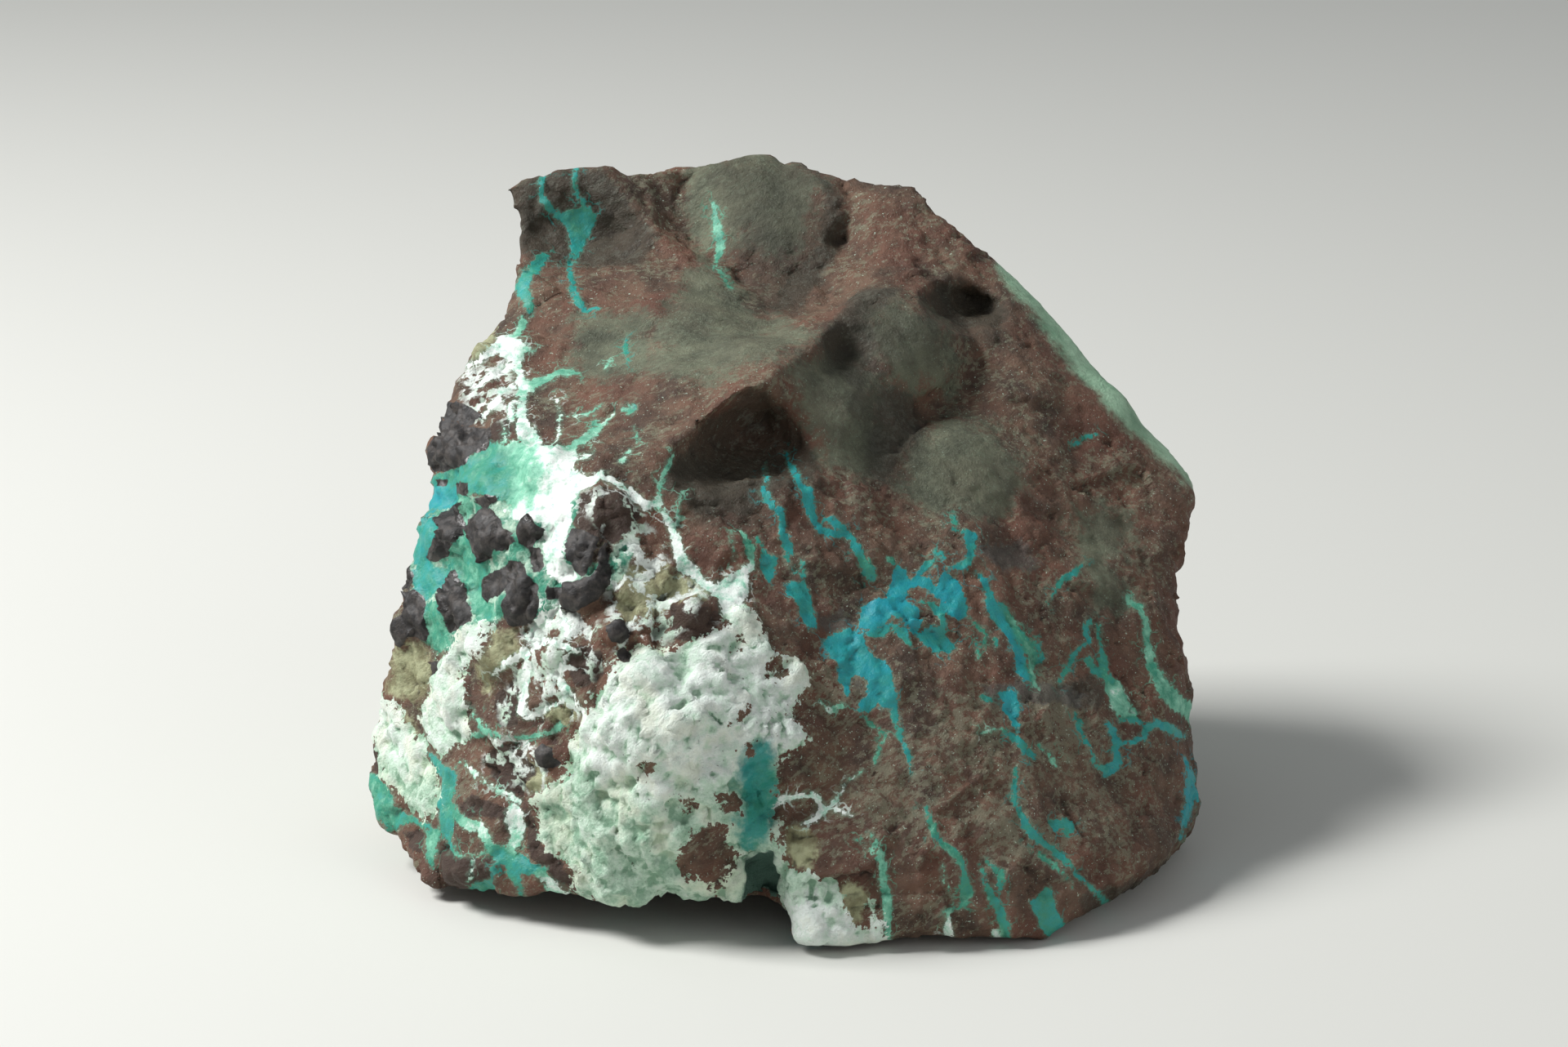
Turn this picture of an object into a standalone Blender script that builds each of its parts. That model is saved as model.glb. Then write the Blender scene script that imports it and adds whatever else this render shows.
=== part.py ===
"""A hand-sized lump of rough chrysocolla in red-brown rock, standing on its broken base.

The whole lump is one solid. Its faces, ridges and hollows are laid out as landmarks: each says where the
point shows in a front view of the lump and how far it lies in front of or behind the middle plane. The
hidden back and the underside are laid out in millimetres. A front sheet and a back sheet are spanned over
the landmarks and meet along the outline, then the surface is split finely, eased between the sharp ridges
and given the broken, lumpy relief of the stone.
"""

import math

import bmesh
import bpy
import numpy as np
from mathutils import Vector, geometry, noise

MM = 0.001

# The front view in which the landmarks were read off: 1920 by 1282 points, seen from a little above.
VIEW_MIDDLE = (960.0, 641.0)
POINTS_PER_MM = 20.0
VIEW_DISTANCE = 267.0
VIEW_ELEVATION = math.radians(16.0)
MIDDLE_HEIGHT = 19.7

# The outline, clockwise from the top left corner: across, down, and mm behind the middle plane.
TOP_OUTLINE = [
    (605, 213, 11.0), (640, 200, 11.5), (700, 188, 12.0), (745, 182, 12.5), (778, 190, 12.5),
    (800, 196, 13.0), (828, 190, 13.5), (860, 181, 14.0), (905, 176, 14.5), (945, 178, 14.5),
    (985, 187, 14.0), (1005, 205, 14.0), (1060, 210, 14.0), (1120, 215, 13.5), (1145, 225, 13.0),
    (1165, 255, 12.5), (1190, 285, 12.5), (1225, 305, 13.0),
]
RIGHT_OUTLINE = [
    (1250, 330, 12.5), (1285, 362, 12.0), (1320, 405, 11.5), (1345, 435, 11.0), (1385, 482, 10.5),
    (1410, 515, 10.0), (1445, 547, 9.0), (1475, 575, 8.0), (1487, 600, 6.5), (1480, 640, 5.5),
    (1465, 685, 4.5), (1448, 725, 3.5), (1446, 755, 3.0), (1460, 805, 2.0), (1474, 850, 1.5),
    (1471, 885, 2.0), (1463, 898, 2.5), (1468, 935, 2.0), (1472, 970, 1.5), (1469, 1005, 1.5),
    (1463, 1035, 1.0), (1438, 1063, -2.5), (1392, 1097, -7.0), (1352, 1121, -10.0),
]
FOOT_OUTLINE = [
    (1322, 1135, -11.8), (1285, 1158, -14.0), (1250, 1168, -15.3), (1210, 1165, -15.5),
    (1150, 1158, -15.2), (1100, 1166, -15.2), (1060, 1175, -15.8), (1000, 1179, -16.2),
    (960, 1172, -15.6), (943, 1163, -14.8), (950, 1138, -13.8), (966, 1120, -13.0),
]
LOWER_LEFT_OUTLINE = [
    (925, 1108, -13.0), (880, 1108, -13.5), (840, 1114, -14.0), (800, 1120, -14.3), (790, 1130, -14.2),
    (768, 1130, -14.2), (740, 1120, -13.8), (690, 1106, -12.4), (655, 1111, -12.0), (620, 1115, -11.2),
    (600, 1103, -10.0), (560, 1102, -8.6), (545, 1100, -8.2), (520, 1096, -8.0), (498, 1086, -7.0),
]
LEFT_OUTLINE = [
    (482, 1055, -5.0), (474, 1028, -3.5), (455, 1000, -2.0), (443, 960, 0.0), (450, 925, 0.5),
    (453, 890, 0.5), (465, 860, 0.0), (478, 822, -1.0), (484, 780, -2.0), (492, 730, -2.0),
    (499, 690, -2.0), (512, 650, -1.5), (528, 615, -1.0), (530, 575, 0.0), (528, 545, 0.5),
    (534, 505, 1.0), (542, 465, 2.0), (560, 435, 3.0), (580, 408, 4.0), (600, 402, 4.5),
    (612, 370, 6.0), (622, 335, 8.0), (620, 295, 9.5), (612, 258, 10.5), (600, 232, 11.0),
]
OUTLINE = TOP_OUTLINE + RIGHT_OUTLINE + FOOT_OUTLINE + LOWER_LEFT_OUTLINE + LEFT_OUTLINE

# Lines along which two broken faces meet at a sharp edge. They stay crisp.
RIDGES = {
    "long ridge": [
        (742, 580, -11.5), (785, 560, -10.8), (822, 545, -10.0), (866, 512, -9.0), (905, 481, -8.3),
        (918, 473, -7.8), (960, 446, -5.0), (1002, 418, -2.0), (1030, 388, 1.0), (1052, 363, 3.3),
        (1075, 354, 4.0), (1095, 353, 4.0),
    ],
    "upper ridge": [
        (736, 200, 12.0), (765, 235, 11.3), (808, 286, 10.0), (845, 318, 8.8), (872, 338, 7.8),
        (912, 366, 6.2), (950, 393, 4.0), (1000, 384, 3.4), (1052, 363, 3.3),
    ],
    "block edge": [
        (1095, 353, 4.0), (1130, 375, 3.3), (1165, 405, 3.8), (1172, 440, 3.8), (1160, 474, 3.0),
        (1128, 480, 1.4), (1104, 500, 0.0), (1100, 560, -2.4), (1099, 600, -4.2), (1096, 630, -5.2),
    ],
    "boulder side": [
        (1000, 208, 13.4), (1012, 236, 12.2), (1014, 272, 11.2), (1006, 318, 10.2), (985, 342, 9.8),
    ],
    "boulder foot": [(985, 342, 9.8), (940, 334, 9.4), (900, 322, 9.9), (868, 300, 11.2)],
    "hollow side": [
        (918, 473, -7.8), (940, 476, -6.6), (960, 490, -5.8), (982, 520, -5.2), (1008, 562, -5.4),
        (1000, 580, -7.6),
    ],
    "facet top": [(960, 490, -5.8), (1000, 470, -3.8), (1048, 472, -2.2), (1104, 500, 0.0)],
    "pit rim": [
        (1130, 375, 3.3), (1122, 354, 5.2), (1142, 341, 8.0), (1185, 341, 9.4), (1230, 364, 9.4),
        (1243, 392, 7.8), (1198, 412, 6.0), (1165, 405, 3.8),
    ],
    "hollow lip": [
        (850, 605, -11.0), (900, 607, -10.2), (950, 594, -9.0), (1000, 580, -7.6), (1060, 590, -6.0),
        (1096, 630, -5.2),
    ],
    "ledge": [
        (1045, 252, 12.4), (1100, 275, 11.4), (1150, 305, 10.8), (1200, 325, 10.8), (1240, 345, 11.3),
    ],
    "knob foot": [(622, 330, 8.2), (650, 327, 8.4), (700, 330, 8.3), (760, 318, 8.9), (808, 286, 10.0)],
    "lower right edge": [
        (1285, 1158, -14.0), (1318, 1098, -13.6), (1380, 1070, -11.2), (1440, 1040, -7.4),
        (1458, 1010, -4.8), (1463, 975, -2.0),
    ],
    "crust step": [
        (905, 752, -15.2), (850, 782, -15.8), (795, 800, -15.9), (750, 838, -15.8), (712, 885, -15.2),
        (722, 935, -15.2), (742, 975, -15.6), (735, 1010, -15.6),
    ],
    "cleft": [(556, 1030, -9.0), (552, 1065, -7.0), (549, 1088, -6.6)],
}

# Points on the visible faces between the ridges.
FACES = {
    "knob": [
        (640, 225, 10.6), (690, 218, 10.8), (735, 228, 11.2), (650, 262, 11.8), (700, 255, 12.0),
        (750, 258, 12.4), (655, 296, 12.8), (700, 290, 13.6), (745, 284, 14.2), (776, 282, 12.8),
        (765, 300, 13.2), (725, 312, 13.0), (680, 314, 12.4),
    ],
    "plateau": [
        (650, 360, 6.2), (700, 352, 6.4), (760, 340, 7.4), (820, 350, 6.4), (640, 425, 2.2),
        (700, 430, 1.0), (780, 405, 2.0), (850, 400, 1.5), (905, 415, 0.2), (640, 480, -1.8),
        (700, 495, -3.8), (770, 478, -3.8), (840, 452, -3.8), (890, 450, -4.4), (940, 420, -1.4),
        (720, 548, -8.4), (662, 530, -6.2), (800, 520, -7.6),
    ],
    "scoop": [
        (790, 235, 14.6), (826, 268, 14.2), (830, 222, 15.8), (868, 212, 13.6), (905, 210, 12.8),
        (905, 245, 11.8), (868, 250, 12.0), (960, 222, 12.6), (858, 312, 12.4),
        (930, 302, 10.4), (972, 290, 10.2), (905, 345, 10.0), (945, 366, 8.2), (990, 362, 8.4),
        (1030, 232, 15.8), (1036, 288, 14.2), (1032, 330, 11.4),
    ],
    "shoulder": [
        (1080, 236, 13.2), (1145, 262, 12.4), (1200, 302, 12.2), (1080, 305, 9.8), (1120, 325, 9.0),
        (1088, 335, 6.6),
    ],
    "pit": [
        (1152, 364, 10.5), (1178, 368, 13.6), (1206, 380, 13.6), (1224, 387, 11.6), (1186, 394, 12.0),
        (1150, 385, 8.0),
    ],
    "block": [
        (1000, 448, -1.2), (1028, 448, 1.9), (1034, 424, 2.0), (1012, 428, -0.2), (1058, 444, 0.6),
        (1068, 398, 1.2), (1100, 410, 0.9), (1132, 432, 1.4), (1082, 452, -0.4), (1120, 462, 0.7),
        (1192, 432, 7.0), (1186, 480, 5.8), (1140, 494, 4.6), (1122, 508, 3.4), (1128, 532, 1.6),
    ],
    "hollow": [
        (800, 572, -10.9), (845, 572, -8.4), (880, 545, -4.6), (912, 510, -2.6), (938, 502, -2.8),
        (900, 583, -6.6), (938, 552, -3.4), (966, 546, -3.6), (958, 576, -5.8), (984, 566, -5.6),
    ],
    "facet": [
        (1010, 510, -4.4), (1040, 522, -3.6), (1036, 560, -4.3), (1072, 500, -2.1), (1078, 550, -2.7),
        (1050, 585, -5.8),
    ],
    "right slope": [
        (1262, 402, 7.6), (1252, 450, 5.6), (1212, 492, 3.9), (1302, 480, 5.6), (1282, 550, 2.0),
        (1362, 540, 5.8), (1332, 612, 1.9), (1422, 600, 5.2), (1386, 662, 2.0), (1442, 652, 4.2),
        (1292, 642, -1.0), (1160, 530, -0.4), (1202, 546, -0.2), (1240, 585, -0.6), (1150, 592, -3.4),
        (1200, 622, -3.6), (1240, 642, -3.0),
    ],
    "main face": [
        (870, 640, -12.0), (930, 640, -11.0), (1000, 640, -9.6), (1060, 650, -8.2), (1120, 668, -7.2),
        (1190, 680, -6.1), (1260, 700, -4.5), (1330, 702, -2.1), (1400, 720, 0.4),
        (830, 700, -13.6), (900, 705, -13.1), (960, 720, -12.2), (1040, 730, -11.1), (1120, 750, -10.0),
        (1200, 760, -8.6), (1280, 780, -6.6), (1360, 790, -3.2), (1420, 790, -0.7),
        (1010, 800, -13.1), (1080, 820, -13.0), (1160, 840, -12.3), (1240, 850, -10.6), (1320, 860, -7.6),
        (1400, 860, -4.1), (1446, 850, -1.2),
        (1025, 900, -14.4), (1100, 910, -14.3), (1180, 920, -13.4), (1260, 930, -11.6), (1340, 940, -8.7),
        (1410, 940, -5.3), (1450, 930, -1.9),
        (1000, 1000, -15.5), (1080, 1000, -15.5), (1160, 1010, -15.0), (1240, 1010, -13.9),
        (1320, 1010, -11.4), (1390, 1000, -8.2),
        (1040, 1080, -16.3), (1120, 1085, -16.2), (1200, 1095, -16.0), (1266, 1095, -14.6),
    ],
    "undercut": [(1345, 1104, -9.8), (1402, 1075, -6.0), (1450, 1042, -2.2)],
    "crust": [
        (800, 830, -17.2), (860, 835, -17.1), (760, 875, -17.2), (728, 905, -16.6), (820, 900, -18.0),
        (890, 880, -17.0), (950, 880, -15.9), (985, 835, -14.6), (935, 800, -15.6), (780, 960, -18.0),
        (850, 960, -17.8), (905, 930, -16.2), (922, 975, -14.6), (958, 955, -16.0), (905, 1010, -16.2),
        (835, 1020, -17.0), (868, 1050, -15.4), (780, 1030, -16.6), (800, 1080, -16.0), (745, 1085, -14.9),
        (850, 1092, -15.3), (900, 1085, -15.4), (932, 1050, -12.8), (937, 1085, -11.8), (958, 1050, -16.0),
        (980, 1105, -16.0), (962, 1148, -15.4), (992, 1140, -16.4), (1020, 1040, -16.0),
    ],
    "lower left": [
        (690, 985, -13.8), (700, 1040, -13.8), (700, 930, -13.6), (650, 1010, -12.4), (600, 1020, -11.0),
        (530, 1040, -7.4), (500, 1030, -5.3), (680, 1075, -13.1), (630, 1085, -12.1), (590, 1075, -10.8),
        (568, 1080, -9.4), (522, 1078, -8.2), (640, 950, -11.7), (580, 970, -9.2), (540, 960, -7.2),
        (500, 960, -4.2), (470, 962, -2.2),
    ],
    "left side": [
        (700, 620, -12.4), (760, 630, -12.9), (720, 680, -13.8), (780, 700, -14.4), (640, 600, -9.8),
        (590, 580, -6.3), (560, 620, -4.4), (620, 660, -10.4), (570, 680, -7.0), (530, 680, -4.0),
        (660, 720, -12.9), (600, 740, -10.0), (550, 750, -6.6), (512, 760, -3.7), (710, 755, -14.4),
        (770, 760, -15.0), (835, 750, -15.0), (650, 800, -12.9), (590, 820, -9.6), (540, 830, -6.1),
        (502, 840, -3.2), (692, 835, -14.1), (640, 880, -12.1), (580, 900, -8.7), (530, 900, -5.4),
        (490, 900, -2.8),
    ],
    "upper left": [
        (600, 445, 0.6), (572, 470, -0.2), (560, 530, -2.8), (612, 508, -4.2), (620, 558, -7.3),
        (682, 580, -10.2), (640, 390, 4.2),
    ],
}

# The hidden back, in mm: right, away from the viewer, up.
BACK = {
    "back crest": [(-14, 19.5, 34), (-5, 23, 34), (5, 23, 33), (13, 20.5, 29), (20, 16.5, 23)],
    "back wall": [
        (-17.8, 14.5, 27), (-12, 21.5, 25), (-3, 24.5, 25), (7, 24, 23), (16, 20.5, 19), (24, 13.5, 20), (23.8, 14, 14), (23.8, 9, 14),
        (-20.8, 9, 20), (-18, 17, 16), (-9, 22, 14), (2, 23.5, 13), (12, 22, 11), (20, 17, 9),
        (-22.6, 5, 11), (-21, 12, 7), (-12, 18.5, 5), (0, 20.5, 4.5), (11, 20, 3.5), (23.2, 10, 8),
        (-24, 2, 4), (23.6, 4, 3),
    ],
}
UNDERSIDE = {
    "base": [
        (-20.5, -5.5, 0), (-19.5, 4, 0), (-15.5, 13, 0), (-6, 17, 0), (4, 18.5, 0), (13, 17, 0),
        (20, 11, 0), (23.5, 3, 0), (16, -12, 0), (10, -17.5, 0), (4, -19.5, 0), (0, -4, 0),
        (10, 2, 0), (-9, 6, 0), (22, -4, 0),
    ],
    "arch": [(-8.7, -18.9, 2.0), (-2.5, -17, 2.2), (-8, -16.5, 3.0), (-14, -14, 2.4), (-9, -10, 1.8), (-17.5, -11.5, 1.0)],
}

# The top and the sides turn away from the viewer behind the outline: this far in and this far back, in mm.
RIM_INSET = 1.1
RIM_DEPTH = 2.6

# How fine the surface is split, in mm: small lumps at the lower left, broad faces elsewhere.
EDGE_CRUST = 1.35
EDGE_FRONT = 1.8
EDGE_BACK = 2.6
EDGE_BASE = 6.0
SPLIT_ROUNDS = 5
EASING_ROUNDS = 4
EASING = 0.45
RIDGE_EASING = 0.12

# What lies lower than this, in mm, is part of the flat face that the stone stands on.
STANDING_BELOW = 0.35

# Places of the front view, each with its reach in mm: swellings of the crust, and dark lumps.
CRUST_PLACES = [
    (740, 900, 3.5), (800, 840, 3.5), (870, 810, 3.2), (860, 880, 4.0), (790, 960, 3.6), (880, 960, 3.2),
    (810, 1050, 4.0), (900, 1060, 3.0), (965, 1000, 2.6), (960, 1100, 2.8), (940, 820, 2.6),
]
LUMP_PLACES = [
    (555, 552, 1.6), (548, 655, 1.9), (600, 657, 1.6), (650, 650, 1.0), (722, 672, 1.7), (718, 718, 1.7),
    (555, 738, 1.5), (505, 760, 1.6), (637, 728, 1.8), (760, 774, 0.9), (740, 626, 2.0), (670, 928, 1.0),
    (560, 1062, 1.5), (852, 760, 1.9), (605, 800, 1.6), (690, 795, 1.7), (560, 860, 2.0), (620, 900, 1.8),
    (590, 600, 2.0), (665, 570, 1.9), (590, 430, 1.3), (630, 425, 0.9),
]

ROCK_COLOUR = (0.115, 0.062, 0.045, 1.0)
ROCK_ROUGHNESS = 0.75


def seen_at(across, down, behind):
    """Where a point of the front view lies, in mm. The plane through the middle of the lump is at the view's
    own scale, and what is behind it is larger in proportion to its distance from the eye."""
    scale = (1.0 + behind / VIEW_DISTANCE) / POINTS_PER_MM
    right = (across - VIEW_MIDDLE[0]) * scale
    up = (VIEW_MIDDLE[1] - down) * scale
    cos, sin = math.cos(VIEW_ELEVATION), math.sin(VIEW_ELEVATION)
    return Vector((right, behind * cos + up * sin, MIDDLE_HEIGHT + up * cos - behind * sin))


def in_view(point):
    """The place in the front view of a point in mm: the inverse of seen_at, with its depth left out."""
    cos, sin = math.cos(VIEW_ELEVATION), math.sin(VIEW_ELEVATION)
    height = point.z - MIDDLE_HEIGHT
    scale = 1.0 + (point.y * cos - height * sin) / VIEW_DISTANCE
    return Vector((point.x / scale, (point.y * sin + height * cos) / scale))


def span_sheet(outline, ridges, points):
    """Triangles over one side of the lump: a flat net in the front view through all the points, with the
    outline as its border and every ridge as a line of edges. Returns the points, triangles and ridge edges."""
    corners = list(outline)
    index = {tuple(round(c, 3) for c in p): i for i, p in enumerate(corners)}

    def number(p):
        key = tuple(round(c, 3) for c in p)
        if key not in index:
            index[key] = len(corners)
            corners.append(p)
        return index[key]

    lines = []
    for ridge in ridges:
        ids = [number(p) for p in ridge]
        lines += zip(ids[:-1], ids[1:])
    for p in points:
        number(p)
    flat = [in_view(p) for p in corners]
    border = list(range(len(outline)))[::-1]
    _, _, triangles, origin, _, _ = geometry.delaunay_2d_cdt(flat, lines, [border], 1, 1e-5)
    if any(len(o) != 1 for o in origin):
        raise ValueError("two landmarks lie on one another, or two ridges cross")
    triangles = [[origin[i][0] for i in t] for t in triangles]
    return corners, triangles, lines


def turned_rim(outline):
    """Points just inside a run of the outline and farther back, where the surface goes round to the back."""
    rim = []
    for before, here, after in zip(outline[:-2], outline[1:-1], outline[2:]):
        along = Vector(after[:2]) - Vector(before[:2])
        inward = Vector((-along.y, along.x)).normalized() * RIM_INSET * POINTS_PER_MM
        rim.append(seen_at(here[0] + inward.x, here[1] + inward.y, here[2] + RIM_DEPTH))
    return rim


def make_cage():
    """The closed net of flat triangles over all landmarks, in mm, with the ridge edges marked sharp."""
    outline = [seen_at(*p) for p in OUTLINE]
    front = span_sheet(
        outline,
        [[seen_at(*p) for p in ridge] for ridge in RIDGES.values()],
        [seen_at(*p) for face in FACES.values() for p in face],
    )
    hidden = [Vector(p) for group in (BACK, UNDERSIDE) for face in group.values() for p in face]
    hidden += turned_rim(LEFT_OUTLINE + TOP_OUTLINE + RIGHT_OUTLINE[:-4])
    back = span_sheet(outline, [], hidden)
    cage = bmesh.new()
    rim = [cage.verts.new(p) for p in outline]
    shared = {frozenset(t) for t in front[1]} & {frozenset(t) for t in back[1]}
    shared = [t for t in shared if max(t) < len(outline)]
    if shared:
        raise ValueError(f"flaps with no thickness at {[[OUTLINE[i] for i in t] for t in shared]}")
    for (corners, triangles, lines), faces_viewer in ((front, True), (back, False)):
        verts = rim + [cage.verts.new(p) for p in corners[len(outline):]]
        for triangle in triangles:
            order = triangle if faces_viewer else triangle[::-1]
            cage.faces.new([verts[i] for i in order]).material_index = int(faces_viewer)
        for a, b in lines:
            edge = cage.edges.get((verts[a], verts[b]))
            if edge:
                edge.smooth = False
    loose = [tuple(round(c, 1) for c in v.co) for v in cage.verts if not v.link_faces]
    if loose:
        raise ValueError(f"landmarks outside the outline at {loose}")
    bmesh.ops.recalc_face_normals(cage, faces=cage.faces)
    return cage


def edge_limit(middle, normal):
    """The longest edge allowed at a place, in mm."""
    if normal.z < -0.8 and middle.z < 2.0:
        return EDGE_BASE
    if middle.y > 4.0 or normal.y > 0.2:
        return EDGE_BACK
    place = in_view(middle)
    crusted = place.x < 1.5 and place.y < 7.0
    return EDGE_CRUST if crusted else EDGE_FRONT


def split_finely(mesh):
    """Halves every edge that is over its limit, in a few rounds, and turns thin pairs of triangles round."""
    for _ in range(SPLIT_ROUNDS):
        mesh.normal_update()
        long = []
        for edge in mesh.edges:
            a, b = (v.co for v in edge.verts)
            normal = sum((f.normal for f in edge.link_faces), Vector())
            if edge.calc_length() > edge_limit((a + b) / 2, normal.normalized()):
                long.append(edge)
        bmesh.ops.subdivide_edges(mesh, edges=long, cuts=1)
        bmesh.ops.triangulate(mesh, faces=mesh.faces)
        turning = [e for e in mesh.edges if e.smooth]
        bmesh.ops.beautify_fill(mesh, faces=mesh.faces, edges=turning)


def ease(points, pairs, ridge, rounds):
    """Moves each point part of the way to the middle of its neighbours, and ridge points much less."""
    share = np.where(ridge, RIDGE_EASING, EASING)[:, None]
    count = np.bincount(pairs.ravel(), minlength=len(points))[:, None]
    for _ in range(rounds):
        total = np.zeros_like(points)
        np.add.at(total, pairs[:, 0], points[pairs[:, 1]])
        np.add.at(total, pairs[:, 1], points[pairs[:, 0]])
        points = points + share * (total / count - points)
    return points


def noise_field(points, size, seed):
    """A smooth random value from -1 to 1 at each point, with hills about as wide as size."""
    offset = Vector((31.7, -12.9, 7.3)) * seed
    return np.array([noise.noise(Vector(p) / size + offset) for p in points])


def facet_field(points, size, seed):
    """Flat-faced bumps: how much nearer the nearest random seed point is than the second nearest, from 0
    on the borders between bumps to about 1 in their middles."""
    offset = Vector((5.3, 17.1, -23.9)) * seed
    field = []
    for p in points:
        distances, _ = noise.voronoi(Vector(p) / size + offset)
        field.append(min(distances[1] - distances[0], 1.0))
    return np.array(field)


def blend_in(values, start, end):
    """0 below start, 1 above end, and smooth between."""
    t = np.clip((values - start) / (end - start), 0.0, 1.0)
    return t * t * (3.0 - 2.0 * t)


def near_places(flat, places, reach):
    """1 at any of the places of the front view, falling smoothly to 0 at the given reach in mm."""
    amount = np.zeros(len(flat))
    for across, down, size in places:
        middle = np.array(((across - VIEW_MIDDLE[0]), (VIEW_MIDDLE[1] - down))) / POINTS_PER_MM
        distance = np.linalg.norm(flat - middle, axis=1)
        amount = np.maximum(amount, 1.0 - blend_in(distance, 0.35 * size * reach, size * reach))
    return amount


def relief(points, normals, ridge, rim):
    """How far each point is pushed out of the eased faces, in mm: broad waves and broken facets all over,
    thick rounded crust at the lower left, dark lumps at the left, and a rough back."""
    flat = np.array([in_view(Vector(p)) for p in points])
    facing = blend_in(-normals[:, 1], -0.2, 0.25)
    crust = near_places(flat, CRUST_PLACES, 1.0) * facing
    lumps = near_places(flat, LUMP_PLACES, 1.0) * facing
    push = 0.55 * noise_field(points, 6.5, 1) + 0.28 * noise_field(points, 2.6, 2)
    push += 0.55 * (facet_field(points, 7.0, 3) - 0.3)
    push += crust * (0.9 * facet_field(points, 3.2, 4) + 0.35 * noise_field(points, 1.6, 5) - 0.35)
    push += 0.85 * lumps
    push += (1.0 - facing) * (1.8 * facet_field(points, 7.5, 6) + 0.6 * noise_field(points, 9.0, 7) - 0.6)
    push *= np.where(ridge, 0.35, 1.0) * np.where(rim, 0.0, 1.0)
    base = 1.0 - blend_in(points[:, 2], 0.4, 2.2)
    return push * (1.0 - base)


def shape_surface(cage):
    """Eases the split surface, adds the relief along the normals and flattens what stands on the ground."""
    cage.verts.ensure_lookup_table()
    cage.verts.index_update()
    points = np.array([v.co for v in cage.verts])
    pairs = np.array([[v.index for v in e.verts] for e in cage.edges])
    ridge, rim = np.zeros((2, len(points)), bool)
    for edge in cage.edges:
        if not edge.smooth:
            ridge[[v.index for v in edge.verts]] = True
        if len({face.material_index for face in edge.link_faces}) == 2:
            rim[[v.index for v in edge.verts]] = True
    points = ease(points, pairs, ridge, EASING_ROUNDS)
    for vert, point in zip(cage.verts, points):
        vert.co = Vector(point)
    cage.normal_update()
    normals = np.array([v.normal for v in cage.verts])
    points += normals * relief(points, normals, ridge, rim)[:, None]
    points[:, 2] = np.where(points[:, 2] < STANDING_BELOW, 0.0, points[:, 2])
    return points


def make_stone():
    """The stone as one closed mesh in metres, its box centred on the origin and standing at height 0."""
    cage = make_cage()
    split_finely(cage)
    points = shape_surface(cage)
    low, high = points.min(axis=0), points.max(axis=0)
    shift = np.array((-(low[0] + high[0]) / 2, -(low[1] + high[1]) / 2, -low[2]))
    for vert, point in zip(cage.verts, points + shift):
        vert.co = Vector(point) * MM
    for face in cage.faces:
        face.material_index = 0
    cage.normal_update()
    mesh = bpy.data.meshes.new("raw_chrysocolla")
    cage.to_mesh(mesh)
    cage.free()
    print("stone", len(mesh.polygons), "triangles, shifted by", shift.round(3), "to", (high - low).round(2))
    return mesh


def rock_material():
    """Dull red-brown rock."""
    material = bpy.data.materials.new("rough_chrysocolla")
    material.use_nodes = True
    shader = material.node_tree.nodes["Principled BSDF"]
    shader.inputs["Base Color"].default_value = ROCK_COLOUR
    shader.inputs["Roughness"].default_value = ROCK_ROUGHNESS
    shader.inputs["Metallic"].default_value = 0.0
    return material


def main():
    for obj in list(bpy.data.objects):
        bpy.data.objects.remove(obj)
    mesh = make_stone()
    mesh.materials.append(rock_material())
    stone = bpy.data.objects.new("raw_chrysocolla", mesh)
    bpy.context.scene.collection.objects.link(stone)


main()
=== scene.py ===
"""The look of a lump of raw chrysocolla: red-brown rock with turquoise veins, a powdery pale crust, dark
glossy lumps and green glassy patches, standing on a plain pale floor in soft studio light.

The lump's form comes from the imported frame. A finer surface is laid over it here, the markings that a front
view shows are drawn on that surface as distances to routes and outlines, and node materials turn the
distances into ragged, sharp-edged veins and patches.
"""

import itertools
import math

import bmesh
import bpy
import numpy as np
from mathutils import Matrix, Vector


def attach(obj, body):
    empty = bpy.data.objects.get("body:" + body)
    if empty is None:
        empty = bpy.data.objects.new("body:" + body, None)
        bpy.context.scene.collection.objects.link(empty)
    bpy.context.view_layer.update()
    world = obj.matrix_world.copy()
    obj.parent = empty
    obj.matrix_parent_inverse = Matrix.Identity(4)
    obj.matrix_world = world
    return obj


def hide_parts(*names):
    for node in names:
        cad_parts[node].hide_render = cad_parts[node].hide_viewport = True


bl_info = {
    "name": "Raw chrysocolla",
    "version": (1, 0, 0),
    "blender": (4, 5, 0),
    "location": "3D View > Sidebar > Chrysocolla",
    "description": "Builds the look of a lump of raw chrysocolla on its packed solid",
    "category": "Object",
}

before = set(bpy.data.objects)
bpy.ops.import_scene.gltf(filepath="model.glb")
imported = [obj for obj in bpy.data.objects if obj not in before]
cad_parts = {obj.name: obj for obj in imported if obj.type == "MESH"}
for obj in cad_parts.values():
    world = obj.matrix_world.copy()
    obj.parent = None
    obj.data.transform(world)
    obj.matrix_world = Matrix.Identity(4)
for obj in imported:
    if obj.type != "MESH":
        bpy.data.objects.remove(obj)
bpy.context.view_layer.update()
NODE = "raw_chrysocolla"
MM = 0.001

# The front view in which the markings were read off: an image of 1920 by 1282 points, in which one
# millimetre at the aim takes 20 points. The aim lies a little off the middle of the stone's box.
VIEW_MIDDLE = (960.0, 641.0)
POINTS_PER_MM = 20.0
VIEW_DISTANCE = 267.0
VIEW_ELEVATION = math.radians(16.0)
VIEW_AIM = (-0.26, -1.1, 19.7)

# The camera that takes this view: the length of its lens and the width of its sensor, in mm.
LENS = 100.0
SENSOR = 36.0

# The soft lights' places and widths, in metres, and the colour of the even light from all around.
KEY_PLACE = (-0.30, 0.0, 0.34)
KEY_WIDTH = 0.15
FILL_PLACE = (0.38, -0.30, 0.18)
FILL_WIDTH = 0.35
ROOM_COLOUR = (0.92, 0.96, 1.0, 1.0)

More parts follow.
